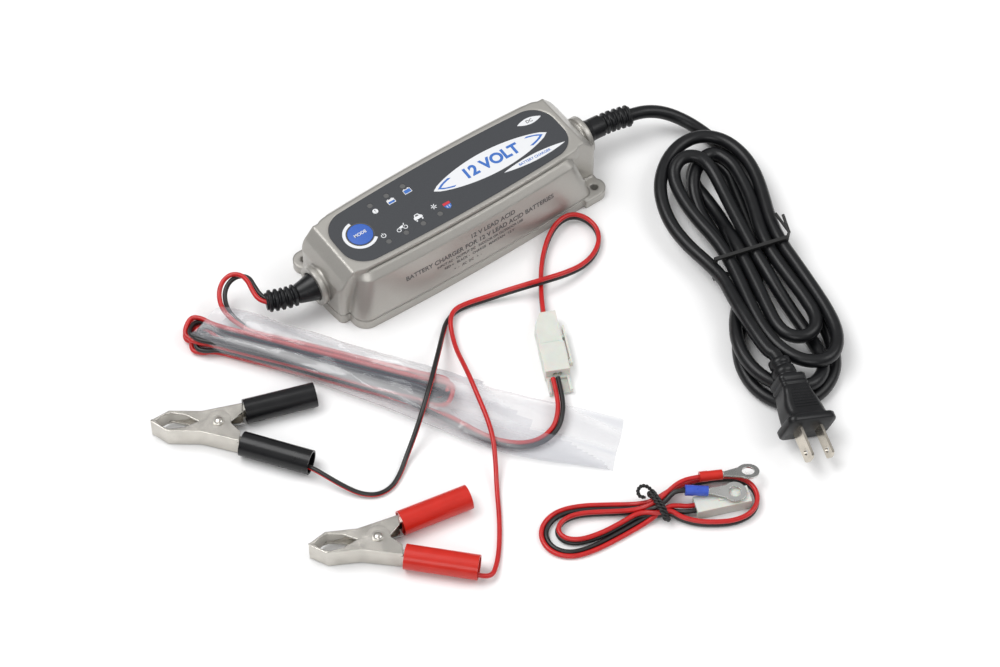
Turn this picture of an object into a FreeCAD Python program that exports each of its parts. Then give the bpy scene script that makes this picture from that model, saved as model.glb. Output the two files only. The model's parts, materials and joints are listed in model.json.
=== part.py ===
"""A 12 V battery charger with its mains lead, clamp lead and eyelet lead, as separate solids.

Millimetres. The origin is the middle of the housing's underside, +X runs along the housing
towards the mains lead, +Z is up. Each sub-part is written to parts/NAME.step.
"""
import math
import os

import FreeCAD
import Part

V = FreeCAD.Vector
UP = V(0, 0, 1)

# ---- housing -------------------------------------------------------------------------------
SPINE_HALF_L = 83.2        # middle block, base to base of the two end faces
SPINE_HALF_W = 18.6
END_BOW = 1.6              # how far an end face bulges
BODY_HALF_W = 31.1         # the cheeks' half width at the seam
SIDE_BOW = 2.0             # how far a long side bulges
CHEEK_LONG = 77.0          # a cheek's plain end, from the middle
CHEEK_SHORT = 72.6         # a cheek's end beside a mounting ear
CHEEK_R = 8.0
SEAM_Z = 6.2               # top of the base
COVER_Z = 6.8              # bottom of the cover
CHEEK_Z = 31.8             # where a cheek's wall turns into its shoulder
SHOULDER_Z = 36.0
TOP_Z = 38.0
WALL = 2.2
DECK_HALF_L = 74.5
DECK_HALF_W = 22.1
PANEL_HALF_L = 70.6
PANEL_HALF_W = 19.5
PANEL_BOW = 2.4
PANEL_T = 0.5
EAR_X, EAR_Y = 76.3, 25.1  # the mounting hole, mirrored through the middle for the second
EAR_HOLE_R = 2.05
EAR_R = 6.0
EAR_T = 5.4

# ---- cable entries -------------------------------------------------------------------------
AXIS_Z = 17.0
COLLAR_R = 11.0
COLLAR_X = 87.0            # outer face of the collar ring
COLLAR_T = 3.0
BOOT_R = 8.0               # boot where it passes the collar

# ---- controls ------------------------------------------------------------------------------
BUTTON_X, BUTTON_Y = -56.4, 0.0
BUTTON_R = 6.7
LED_R = 1.45
LEDS = [(-41.7, 12.6), (-31.1, 13.1), (-20.6, 13.4),
        (-46.9, -12.3), (-36.4, -12.8), (-25.8, -13.0), (-15.1, -12.9)]
CONTROL_BOARD_Z = 28.4
BOARD_Z = 8.6
BOARD_T = 1.6
SCREWS = [(62.0, 20.5), (-62.0, 20.5), (-62.0, -20.5), (62.0, -20.5)]

# ---- cords ---------------------------------------------------------------------------------
MAINS_D = 7.1
WIRE_D = 2.5               # one insulated conductor of the twin lead
TWIN = 2.6                 # from one conductor's middle to the other's

# ---- frames of the loose pieces: x, y, z and heading in degrees ----------------------------
HANK_AT = (111.5, -113.0)  # the mains hank's waist, where its tie is
HANK_TURN = -15.0
PLUG_AT = (78.6, -178.0, 17.6)
PLUG_HEADING, PLUG_DROOP, PLUG_ROLL = -106.8, 6.5, -19.0
BAG_AT = (-143.0, 12.0)    # the bag's left end
BAG_HEADING = -53.0
JOINT_AT = (-6.2, -99.5)   # the pair of mated connectors
JOINT_HEADING = 65.0
BLACK_CLAMP = (-170.6, -39.2, 143.4)
RED_CLAMP = (-144.4, -142.8, 151.7)
SPARE_AT = (8.7, -222.0)   # the eyelet lead's connector
SPARE_HEADING = 158.5

# ---- battery clamp -------------------------------------------------------------------------
CLAMP_BOTTOM, CLAMP_TOP = 0.6, 12.2
STEEL = 1.0
SLEEVE_R = 6.4
SLEEVE_WALL = 0.9
SLEEVE_L = 37.0
HANDLE_ANGLE = 17.5        # of each handle from the clamp's long axis
SLEEVE_START = (-11.2, 9.4)

PARTS = {}


# ---- helpers -------------------------------------------------------------------------------
def box(x0, x1, y0, y1, z0, z1):
    return Part.makeBox(x1 - x0, y1 - y0, z1 - z0, V(x0, y0, z0))


def cylinder(radius, height, base, axis=UP):
    return Part.makeCylinder(radius, height, V(*base), axis)


def rod(radius, start, end):
    """A round bar from one point to another."""
    a, b = V(*start), V(*end)
    return Part.makeCylinder(radius, (b - a).Length, a, b - a)


def ring(r_out, r_in, height, base, axis=UP):
    return cylinder(r_out, height, base, axis).cut(cylinder(r_in, height, base, axis))


def join(shapes):
    first = shapes[0]
    return first.fuse(shapes[1:]).removeSplitter() if len(shapes) > 1 else first


def group(shapes):
    return Part.makeCompound(shapes)


def placed(shape, at, heading, droop=0.0, roll=0.0):
    """Move a shape from its own frame, x forward, to where it lies."""
    moved = shape.copy()
    lie = FreeCAD.Placement(V(*at), FreeCAD.Rotation(heading, droop, roll))
    moved.Placement = lie.multiply(shape.Placement)
    return moved


def point_at(local, at, heading):
    """Where a point of a flat frame lies in the part's frame."""
    turn = math.radians(heading)
    x, y = local[0], local[1]
    return (at[0] + x * math.cos(turn) - y * math.sin(turn),
            at[1] + x * math.sin(turn) + y * math.cos(turn), local[2])


def soft_quad(corners, bows, radii, z):
    """A closed four-sided outline with bulged sides and rounded corners, anticlockwise."""
    sides = []
    for i in range(4):
        a = V(*corners[i], z)
        b = V(*corners[(i + 1) % 4], z)
        run = b - a
        out = V(run.y, -run.x, 0).normalize() * bows[i]
        first = radii[i] / run.Length
        last = 1 - radii[(i + 1) % 4] / run.Length
        sides.append([a + run * t + out * (4 * t * (1 - t)) for t in (first, (first + last) / 2, last)])
    edges = []
    for i in range(4):
        start, middle, end = sides[i]
        if bows[i]:
            edges.append(Part.Arc(start, middle, end).toShape())
        else:
            edges.append(Part.makeLine(start, end))
        following = sides[(i + 1) % 4][0]
        if radii[(i + 1) % 4]:
            corner = V(*corners[(i + 1) % 4], z)
            chord = (end + following) * 0.5
            edges.append(Part.Arc(end, corner + (chord - corner) * 0.586, following).toShape())
    return Part.Wire(edges)


def slab(corners, bows, radii, z0, z1):
    """A flat solid of that outline."""
    face = Part.Face(soft_quad(corners, bows, radii, z0))
    return face.extrude(V(0, 0, z1 - z0))


def rectangle(half_l, half_w):
    return [(-half_l, -half_w), (half_l, -half_w), (half_l, half_w), (-half_l, half_w)]


def prism(points, z0, z1):
    """A flat solid of straight sides."""
    loop = [V(x, y, z0) for x, y in points]
    return Part.Face(Part.makePolygon(loop + loop[:1])).extrude(V(0, 0, z1 - z0))


def route_wire(points):
    """Straight runs joined by tangent arcs, each as large as its two runs allow."""
    pts = [V(*p) for p in points]
    edges = []
    radii = []
    here = pts[0]
    for before, corner, after in zip(pts, pts[1:], pts[2:]):
        inward = (before - corner)
        onward = (after - corner)
        half_turn = (math.pi - inward.getAngle(onward)) / 2
        cut = 0.45 * min(inward.Length, onward.Length)
        radius = cut / math.tan(half_turn)
        start = corner + inward.normalize() * cut
        end = corner + onward.normalize() * cut
        towards = (inward + onward).normalize()
        centre = corner + towards * (radius / math.cos(half_turn))
        middle = centre - towards * radius
        edges.append(Part.LineSegment(here, start).toShape())
        edges.append(Part.Arc(start, middle, end).toShape())
        radii.append(radius)
        here = end
    edges.append(Part.LineSegment(here, pts[-1]).toShape())
    return Part.Wire(edges), radii


def cord(name, points, diameter):
    """A round tube along a route, with its smallest bend and its volume checked."""
    wire, radii = route_wire(points)
    start = V(*points[0])
    circle = Part.makeCircle(diameter / 2, start, V(*points[1]) - start)
    tube = wire.makePipeShell([Part.Wire(circle)], True, True)
    share = tube.Volume / (math.pi * diameter ** 2 / 4 * wire.Length)
    print(f"{name}: {wire.Length:.0f} mm, smallest radius {min(radii):.1f} mm, volume {share:.3f}")
    return tube


def shifted(points, dx, dy, dz):
    return [(x + dx, y + dy, z + dz) for x, y, z in points]


def beside(points, offset):
    """The same route, moved sideways in plan: positive is to the left of its direction."""
    moved = []
    for i, (x, y, z) in enumerate(points):
        before = points[max(i - 1, 0)]
        after = points[min(i + 1, len(points) - 1)]
        run = V(after[0] - before[0], after[1] - before[1], 0).normalize()
        moved.append((x - run.y * offset, y + run.x * offset, z))
    return moved


# ---- housing -------------------------------------------------------------------------------
def spine_outline(inset, z):
    half_l = SPINE_HALF_L - END_BOW - inset
    return soft_quad(rectangle(half_l, SPINE_HALF_W - inset), [0, END_BOW, 0, END_BOW],
                     [2.5, 2.5, 2.5, 2.5], z)


def cheek_outline(inset, z, lean, end_lean):
    """The front cheek's outline, leaning in by the given amounts at this height."""
    left = -CHEEK_LONG + inset + end_lean * 0.9
    right = CHEEK_SHORT - inset - end_lean * 1.3
    front = -(BODY_HALF_W - SIDE_BOW) + inset + lean
    corners = [(left, front), (right, front), (right, 0), (left, 0)]
    return soft_quad(corners, [SIDE_BOW, 0, 0, 0], [CHEEK_R, CHEEK_R * 0.6, 0, 0], z)


def both_cheeks(half):
    """A front cheek and the same one turned half round for the back."""
    other = half.copy()
    other.rotate(V(0, 0, 0), UP, 180)
    return [half, other]


def footprint(inset, z0, z1):
    """Everything inside the housing's outline at the seam, as a flat slab."""
    spine = Part.Face(spine_outline(inset, z0)).extrude(V(0, 0, z1 - z0))
    cheek = Part.Face(cheek_outline(inset, z0, 0, 0)).extrude(V(0, 0, z1 - z0))
    return join([spine] + both_cheeks(cheek))


def cover_block(inset, bottom):
    """The cover's outer form, or with an inset the space inside it."""
    x_end = SPINE_HALF_L - inset
    top = TOP_Z - inset
    side = [(-x_end, bottom), (x_end, bottom), (x_end - 1.2, 26.5 - inset / 2),
            (x_end - 4.6, 32.0 - inset / 2), (DECK_HALF_L - 1 - inset, top),
            (-DECK_HALF_L + 1 + inset, top), (-x_end + 4.6, 32.0 - inset / 2),
            (-x_end + 1.2, 26.5 - inset / 2)]
    loop = [V(x, -SPINE_HALF_W, z) for x, z in side]
    profile = Part.Face(Part.makePolygon(loop + loop[:1])).extrude(V(0, 2 * SPINE_HALF_W, 0))
    plan = Part.Face(spine_outline(inset, bottom)).extrude(V(0, 0, top - bottom))
    spine = profile.common(plan)
    wall = Part.makeLoft([cheek_outline(inset, bottom, 0, 0),
                          cheek_outline(inset, CHEEK_Z - inset / 2, 4.3, 6.0)], True, True)
    shoulder = Part.makeLoft([cheek_outline(inset, CHEEK_Z - inset / 2, 4.3, 6.0),
                              cheek_outline(inset, SHOULDER_Z - inset, 8.4, 8.2)], True, True)
    deck = slab(rectangle(DECK_HALF_L - inset, DECK_HALF_W - PANEL_BOW - inset),
                [PANEL_BOW, 1.2, PANEL_BOW, 1.2], [9, 9, 9, 9], CHEEK_Z - 2, top)
    deck = deck.common(join([profile, box(-72, 72, -26, 26, bottom, top)]))
    return join([spine, deck] + both_cheeks(wall) + both_cheeks(shoulder))


def deck_groove():
    """The fine groove along the deck's two long sides."""
    bows = [PANEL_BOW, 1.2, PANEL_BOW, 1.2]
    half_w = DECK_HALF_W - PANEL_BOW
    outer = slab(rectangle(DECK_HALF_L + 0.5, half_w + 0.55), bows, [9.5] * 4, 34.9, 36.4)
    inner = slab(rectangle(DECK_HALF_L, half_w), bows, [9] * 4, 34.9, 36.4)
    return outer.cut(inner).common(box(-69, 69, -30, 30, 34.9, 36.4))


def panel_slab(inset, z0, z1):
    return slab(rectangle(PANEL_HALF_L - 1.5 - inset, PANEL_HALF_W - PANEL_BOW - inset),
                [PANEL_BOW, 1.5, PANEL_BOW, 1.5], [11, 11, 11, 11], z0, z1)


def entry_bore(side, radius):
    return cylinder(radius, 20, (side * (COLLAR_X + 1), 0, AXIS_Z), V(-side, 0, 0))


def make_housing():
    shell = cover_block(0, COVER_Z).cut(cover_block(WALL, COVER_Z - 1))
    collars = []
    for side in (-1, 1):
        face = side * (COLLAR_X - COLLAR_T)
        collars.append(cylinder(COLLAR_R, COLLAR_T, (face, 0, AXIS_Z), V(side, 0, 0)))
        collars.append(cylinder(COLLAR_R - 1.4, 7, (side * 78.5, 0, AXIS_Z), V(side, 0, 0)))
    posts = [cylinder(3.4, 28, (x, y, COVER_Z)) for x, y in SCREWS]
    posts = [post.common(cover_block(0.4, COVER_Z)) for post in posts]
    cover = join([shell] + collars + posts)
    cutters = [deck_groove(), panel_slab(-0.1, TOP_Z - PANEL_T, TOP_Z + 1)]
    cutters.append(box(-100, 100, -40, 40, 0, COVER_Z))
    cutters += [entry_bore(side, BOOT_R + 0.15) for side in (-1, 1)]
    cutters += [cylinder(LED_R + 0.2, 6, (x, y, TOP_Z - 4)) for x, y in LEDS]
    cutters.append(cylinder(BUTTON_R + 0.25, 6, (BUTTON_X, BUTTON_Y, TOP_Z - 4)))
    cutters += [cylinder(1.35, 12, (x, y, COVER_Z)) for x, y in SCREWS]
    PARTS["top_cover"] = cover.cut(cutters)

    tray = footprint(0, 0, SEAM_Z).cut(footprint(WALL, 2.4, SEAM_Z))
    ears = []
    for side in (1, -1):
        x, y = side * EAR_X, -side * EAR_Y
        inner = side * (CHEEK_SHORT - 6)
        arm = box(min(x, inner), max(x, inner), y - EAR_R, y + EAR_R, 0, EAR_T)
        gusset = box(min(x - side * 4, x + side * 4.6), max(x - side * 4, x + side * 4.6),
                     min(y, side * -15), max(y, side * -15), 0, EAR_T)
        ears += [cylinder(EAR_R, EAR_T, (x, y, 0)), arm, gusset]
    rim_space = footprint(WALL, 2.4, SEAM_Z)
    ears = [ear.cut(rim_space) for ear in ears]
    standoffs = [cylinder(2.6, BOARD_Z - 2.0, (x, y, 2.0)) for x, y in board_posts()]
    pillars = [cylinder(4.2, COVER_Z - 2.2, (x, y, 2.0)) for x, y in SCREWS]
    base = join([tray] + ears + standoffs + pillars)
    drills = [cylinder(EAR_HOLE_R, 10, (s * EAR_X, -s * EAR_Y, -1)) for s in (1, -1)]
    drills += [cylinder(1.7, 9, (x, y, -1)) for x, y in SCREWS]
    drills += [cylinder(3.1, 3.0, (x, y, -1)) for x, y in SCREWS]
    PARTS["base_plate"] = base.cut(drills)

    seal = footprint(0.9, SEAM_Z, COVER_Z).cut(footprint(WALL - 0.3, SEAM_Z, COVER_Z))
    PARTS["cover_seal"] = seal
    screws = []
    for x, y in SCREWS:
        head = cylinder(2.8, 1.6, (x, y, 0.3))
        shank = cylinder(1.3, 14.5, (x, y, 1.9))
        cross = join([box(x - 1.6, x + 1.6, y - 0.3, y + 0.3, 0.3, 1.1),
                      box(x - 0.3, x + 0.3, y - 1.6, y + 1.6, 0.3, 1.1)])
        screws.append(head.fuse(shank).cut(cross))
    PARTS["base_screws"] = group(screws)


def board_posts():
    return [(sx * 50.0, sy * 17.0) for sx in (-1, 1) for sy in (-1, 1)]


# ---- controls ------------------------------------------------------------------------------
def make_controls():
    panel = panel_slab(0, TOP_Z - PANEL_T, TOP_Z)
    windows = [cylinder(LED_R + 0.1, 3, (x, y, TOP_Z - 2)) for x, y in LEDS]
    windows.append(cylinder(BUTTON_R + 0.25, 3, (BUTTON_X, BUTTON_Y, TOP_Z - 2)))
    PARTS["control_panel"] = panel.cut(windows)

    cap = cylinder(BUTTON_R, TOP_Z - 34.6, (BUTTON_X, BUTTON_Y, 34.6))
    crown = Part.makeSphere(60, V(BUTTON_X, BUTTON_Y, TOP_Z + 0.5 - 60))
    cap = cap.fuse(cylinder(BUTTON_R, 0.6, (BUTTON_X, BUTTON_Y, TOP_Z)).common(crown))
    lip = cylinder(BUTTON_R + 1.2, 0.9, (BUTTON_X, BUTTON_Y, 34.6))
    PARTS["mode_button"] = cap.fuse(lip).removeSplitter()

    board = box(-66, -8, -16, 16, CONTROL_BOARD_Z, CONTROL_BOARD_Z + 1.2)
    legs = [rod(0.7, (x, y, BOARD_Z + BOARD_T), (x, y, CONTROL_BOARD_Z))
            for x in (-44, -9.4) for y in (-14.8, 14.8)]
    notch = [cylinder(4.0, 3, (x, y, CONTROL_BOARD_Z - 1)) for x, y in SCREWS]
    PARTS["control_board"] = board.cut(notch)
    PARTS["board_links"] = group(legs)

    top = CONTROL_BOARD_Z + 1.2
    switch = box(BUTTON_X - 3, BUTTON_X + 3, BUTTON_Y - 3, BUTTON_Y + 3, top, top + 3.2)
    bore = cylinder(1.85, 3.2, (BUTTON_X, BUTTON_Y, top + 1.0))
    PARTS["mode_switch"] = switch.cut(bore)
    PARTS["switch_plunger"] = cylinder(1.7, 34.6 - top - 2.0, (BUTTON_X, BUTTON_Y, top + 2.0))

    lamps = []
    for x, y in LEDS:
        body = cylinder(LED_R, TOP_Z - 0.1 - top, (x, y, top))
        foot = cylinder(LED_R + 0.45, 1.0, (x, y, top))
        lamps.append(body.fuse(foot).removeSplitter())
    PARTS["indicator_leds"] = group(lamps)


# ---- electronics ---------------------------------------------------------------------------
def make_electronics():
    top = BOARD_Z + BOARD_T
    board = slab(rectangle(73, 24), [0, 0, 0, 0], [2, 2, 2, 2], BOARD_Z, top)
    board = board.common(footprint(WALL + 1.5, BOARD_Z - 1, top + 1))
    PARTS["circuit_board"] = board.cut([cylinder(4.0, 6, (x, y, BOARD_Z - 2)) for x, y in SCREWS])

    core = box(-2, 26, -13, 13, top, top + 21).cut(box(3.5, 20.5, -13, 13, top + 5, top + 16))
    centre = box(9, 15, -13, 13, top + 5, top + 16)
    PARTS["transformer_core"] = core.fuse(centre).removeSplitter()
    windings = box(3.8, 20.2, -15.5, 15.5, top + 5.3, top + 15.7)
    PARTS["transformer_windings"] = windings.cut(box(8.8, 15.2, -16, 16, top + 4, top + 17))

    cans = [cylinder(7.5, 24, (31, 0.5, top + 7.6), V(1, 0, 0))]
    cans += [cylinder(4.0, 15, (x, -13.5, top)) for x in (-38, -28.5, -19)]
    cans.append(cylinder(3.2, 12, (32, 16.5, top)))
    PARTS["capacitors"] = group(cans)

    fins = [box(-40, -12, y, y + 1.1, top + 1.9, top + 14) for y in (7.2, 10.6, 14.0, 17.4)]
    PARTS["heat_sink"] = join([box(-40, -12, 6.0, 18.5, top, top + 1.9)] + fins)
    PARTS["power_transistors"] = group([box(x, x + 10, 2.4, 6.9, top + 2.2, top + 14)
                                        for x in (-39, -25.5)])
    choke = Part.makeTorus(5.4, 2.6, V(65.6, 5.5, top + 2.9))
    PARTS["line_filter_choke"] = choke
    ends = [cylinder(3.0, 5, (x, -15, top + 3.4), V(1, 0, 0)) for x in (32, 47)]
    glass = cylinder(2.5, 10, (37, -15, top + 3.4), V(1, 0, 0))
    PARTS["mains_fuse"] = join(ends + [glass])


# ---- strain reliefs ------------------------------------------------------------------------
def boot(points, core_r, ring_r, first, count, pitch, bore_r):
    """A ribbed strain relief: a core along a bent axis with rings standing off it."""
    wire, _ = route_wire(points)
    start = V(*points[0])
    heading = V(*points[1]) - start
    core = wire.makePipeShell([Part.Wire(Part.makeCircle(core_r, start, heading))], True, True)
    bore = wire.makePipeShell([Part.Wire(Part.makeCircle(bore_r, start, heading))], True, True)
    rings = []
    for i in range(count):
        at, direction = along(wire, first + i * pitch)
        rings.append(Part.makeCylinder(ring_r, pitch * 0.55, at, direction))
    return join([core] + rings), bore


def along(wire, distance):
    """The point and direction that far along a wire."""
    for edge in wire.OrderedEdges:
        if distance <= edge.Length:
            t = edge.getParameterByLength(distance)
            ahead = edge.getParameterByLength(min(distance + 0.05, edge.Length))
            behind = edge.getParameterByLength(max(distance - 0.05, 0.0))
            return edge.valueAt(t), (edge.valueAt(ahead) - edge.valueAt(behind)).normalize()
        distance -= edge.Length
    raise ValueError("past the end of the wire")


DC_BOOT = [(-76.0, 0.0, 17.0), (-89.0, 0.0, 17.0), (-101.0, 1.6, 17.2), (-112.2, 5.6, 17.6)]
MAINS_BOOT = [(76.0, 0.0, 17.0), (91.0, 0.0, 17.0), (104.0, -1.4, 17.2), (115.5, -4.2, 17.2)]


def make_strain_reliefs():
    body, bore = boot(DC_BOOT, 4.6, 5.9, 21.0, 5, 3.2, 2.7)
    neck = Part.makeCone(BOOT_R - 0.15, 5.6, 9.0, V(-87, 0, 17), V(-1, 0, 0))
    waist = cylinder(BOOT_R, 9.0, (-78, 0, 17), V(-1, 0, 0))
    anchor = cylinder(BOOT_R + 2.2, 1.8, (-76.2, 0, 17), V(-1, 0, 0))
    anchor = anchor.common(box(-80, -70, -20, 20, BOARD_Z + 2.2, 40))
    PARTS["dc_strain_relief"] = join([body, neck, waist, anchor]).cut(bore)
    body, bore = boot(MAINS_BOOT, 5.0, 6.0, 24.5, 5, 3.2, MAINS_D / 2)
    neck = Part.makeCone(BOOT_R - 0.15, 6.0, 5.0, V(87, 0, 17), V(1, 0, 0))
    smooth = cylinder(6.0, 6.0, (92, 0, 17), V(1, -0.03, 0))
    waist = cylinder(BOOT_R, 9.0, (78, 0, 17), V(1, 0, 0))
    anchor = cylinder(BOOT_R + 2.2, 1.8, (76.2, 0, 17), V(1, 0, 0))
    anchor = anchor.common(box(70, 80, -20, 20, BOARD_Z + 2.2, 40))
    PARTS["mains_strain_relief"] = join([body, neck, smooth, waist, anchor]).cut(bore)


# ---- mains lead ----------------------------------------------------------------------------
MAINS_OUT = [(115.5, -4.2, 17.2), (124.6, -6.6, 16.6), (133.4, -10.8, 13.6), (140.8, -17.6, 9.4),
             (146.0, -27.0, 6.0), (148.6, -38.0, 4.3), (149.4, -49.5, 3.8), (147.4, -61.0, 3.8)]
MAINS_END_LOCAL = [(-12.0, -7.0, 13.0), (-13.6, -21.0, 14.6), (-15.6, -36.0, 16.2),
                   (-16.4, -53.0, 17.0), (-14.9, -71.3, 16.6)]


def hank_solid(corners, radii, z0, z1):
    return placed(slab(corners, [0, 0, 0, 0], radii, z0, z1), (*HANK_AT, 0), HANK_TURN)


def make_mains_lead():
    tail = [point_at(p, HANK_AT, HANK_TURN) for p in MAINS_END_LOCAL]
    tail[-1] = PLUG_AT
    tubes = [cord("mains cord out", MAINS_OUT, MAINS_D), cord("mains cord end", tail, MAINS_D)]
    PARTS["mains_cord"] = group(tubes)

    upper = hank_solid([(-19, 5), (21, 5), (25, 74), (-31, 68)], [0, 0, 24, 22], 0, 16)
    lower = hank_solid([(-29, -80), (23, -87), (21, -5), (-19, -5)], [22, 22, 0, 0], 0, 6.6)
    raised = hank_solid([(-6, -72), (21, -76), (20, -5), (-6, -5)], [10, 16, 0, 0], 6, 17)
    waist = hank_solid([(-18, -7), (20, -7), (20, 7), (-18, 7)], [0, 0, 0, 0], 1.9, 16)
    PARTS["mains_hank"] = join([upper, lower, raised, waist])

    loop = box(-19.8, 21.8, -1.0, 1.0, 0, 17.9).cut(box(-18.4, 20.4, -1.0, 1.0, 1.4, 16.5))
    ends = [rod(0.8, (21.4, 0, 13.0), (24.6, 4.5, 15.0)), rod(0.8, (24.6, 4.5, 15.0), (25.6, 15.0, 16.5)),
            rod(0.8, (24.6, 4.5, 15.0), (21.5, 16.0, 18.5))]
    balls = [Part.makeSphere(0.85, V(24.6, 4.5, 15.0))]
    PARTS["mains_tie"] = placed(join([loop] + ends + balls), (*HANK_AT, 0), HANK_TURN)


def plug_section(half_w, half_h, x, corner):
    """A rounded section of the plug's body, square to its axis."""
    flat = soft_quad(rectangle(half_w, half_h), [0, 0, 0, 0], [corner] * 4, 0)
    flat.Placement = FreeCAD.Placement(V(x, 0, 0), FreeCAD.Rotation(V(1, 1, 1), 120))
    return flat


def make_plug():
    rings = [cylinder(r, w, (x, 0, 0), V(1, 0, 0)) for x, w, r in ((0, 3.6, 5.8), (5.2, 4.2, 6.4))]
    core = cylinder(4.9, 16, (0.6, 0, 0), V(1, 0, 0))
    grip = Part.makeLoft([plug_section(8.0, 7.2, 11.5, 3.0), plug_section(8.6, 6.9, 19.0, 3.0),
                          plug_section(11.2, 8.2, 36.8, 3.5)], True, False)
    flange = Part.Face(plug_section(14.0, 9.6, 36.6, 4.2)).extrude(V(4.4, 0, 0))
    body = join(rings + [core, grip, flange])
    slots = [box(20, 60, y - 0.8, y + 0.8, -half_h, half_h) for y, half_h in ((-6.35, 4.0), (6.35, 3.2))]
    lie = (PLUG_AT, PLUG_HEADING, PLUG_DROOP, PLUG_ROLL)
    PARTS["plug_body"] = placed(body.cut(slots), *lie)
    blades = []
    for y, half_h in ((-6.35, 3.95), (6.35, 3.17)):
        blade = box(24, 59, y - 0.75, y + 0.75, -half_h, half_h)
        nose = cylinder(half_h + 1.2, 4, (54.2, y - 2, 0), V(0, 1, 0))
        blade = blade.common(join([nose, box(24, 54.4, y - 2, y + 2, -6, 6)]))
        blades.append(blade.cut(cylinder(1.75, 4, (54.0, y - 2, 0), V(0, 1, 0))))
    PARTS["plug_blades"] = placed(group(blades), *lie)


# ---- twin lead from the charger, its hank and bag ------------------------------------------
DC_RED_ARCH = [(-111.7, 4.1, 17.9), (-114.9, 8.8, 18.3), (-114.4, 15.2, 18.8), (-113.0, 21.2, 19.0),
               (-113.4, 27.0, 18.6), (-117.0, 31.4, 17.4), (-122.6, 31.2, 15.8), (-127.6, 27.4, 13.4),
               (-130.4, 21.0, 10.6), (-129.8, 14.0, 8.4), (-127.8, 7.2, 7.6), (-125.4, 0.8, 7.4)]
DC_BLACK_ARCH = [(-110.8, 6.5, 17.3), (-112.0, 12.0, 16.8), (-111.4, 18.0, 17.2), (-110.4, 24.4, 16.8),
                 (-113.4, 29.2, 15.6), (-119.2, 30.0, 14.2), (-124.8, 26.6, 12.0), (-127.6, 20.4, 8.6),
                 (-127.2, 14.0, 6.0), (-125.2, 6.8, 4.8), (-122.9, -0.6, 4.8)]
DC_OUT = [(-73.0, -99.4, 3.2), (-69.6, -107.4, 3.0), (-66.4, -115.8, 2.9), (-62.4, -124.2, 2.9),
          (-56.6, -131.6, 2.9), (-49.4, -137.2, 2.9), (-40.8, -139.6, 3.4), (-31.8, -138.0, 4.6),
          (-24.8, -132.0, 5.6), (-19.6, -124.4, 5.8), (-14.6, -113.6, 5.8)]

BAG_SECTIONS = [(6, 4.2, 25.0, 13.4), (28, 3.6, 24.6, 13.4), (66, 0.4, 24.0, 13.2),
                (112, -2.4, 29.5, 12.6), (128, -3.4, 32.0, 12.0), (142, -4.6, 34.6, 9.8),
                (166, -5.0, 36.0, 8.0), (190, -3.4, 34.6, 7.0), (215, 0.4, 31.0, 3.4)]
FILM = 0.5


def bag_section(station, middle, width, height, shrink):
    half = width / 2 - shrink
    high = height / 2 - shrink
    corner = min(4.6, high * 0.9)
    flat = soft_quad(rectangle(half, high), [0, 0, 0, 0], [corner] * 4, 0)
    turn = FreeCAD.Rotation(V(1, 1, 1), 120)
    flat.Placement = FreeCAD.Placement(V(station, middle, height / 2), turn)
    return flat


def make_bagged_lead():
    red_out = beside(DC_OUT, 1.3)
    black_out = beside(DC_OUT, -1.3)
    red = [cord("red lead, arch", DC_RED_ARCH, WIRE_D), cord("red lead, to connector", red_out, WIRE_D)]
    black = [cord("black lead, arch", DC_BLACK_ARCH, WIRE_D),
             cord("black lead, to connector", black_out, WIRE_D)]
    PARTS["dc_lead_red"] = group(red)
    PARTS["dc_lead_black"] = group(black)

    layers = [slab([(-16 + inset, -5.2 + inset), (122, -8.8 + inset), (122, 7.8 - inset),
                    (-16 + inset, 9.6 - inset)], [0, 0, 0, 0], [7 - inset, 3, 3, 7 - inset], low, high)
              for inset, low, high in ((0, 3.6, 8.2), (2.4, 1.0, 11.0))]
    nose = slab([(112, -8.8), (134, -8.4), (134, 6.6), (112, 7.4)], [0, 0, 0, 0], [2, 7, 7, 2], 1.4, 7.6)
    PARTS["dc_hank"] = placed(join(layers + [nose]), (*BAG_AT, 0), BAG_HEADING)

    outer = Part.makeLoft([bag_section(*s, 0) for s in BAG_SECTIONS], True, True)
    inner = [(BAG_SECTIONS[0][0] - 1, *BAG_SECTIONS[0][1:])] + BAG_SECTIONS[1:-1]
    inner.append((BAG_SECTIONS[-1][0] + 1, *BAG_SECTIONS[-1][1:]))
    film = outer.cut(Part.makeLoft([bag_section(*s, FILM) for s in inner], True, True))
    opened = [(139, 30), (145, 8), (176, -3.5), (216, -13.5), (230, -13.5), (230, 30)]
    film = film.cut(prism(opened, FILM + 0.1, 20))
    PARTS["lead_bag"] = placed(film, (*BAG_AT, 0), BAG_HEADING)


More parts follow.
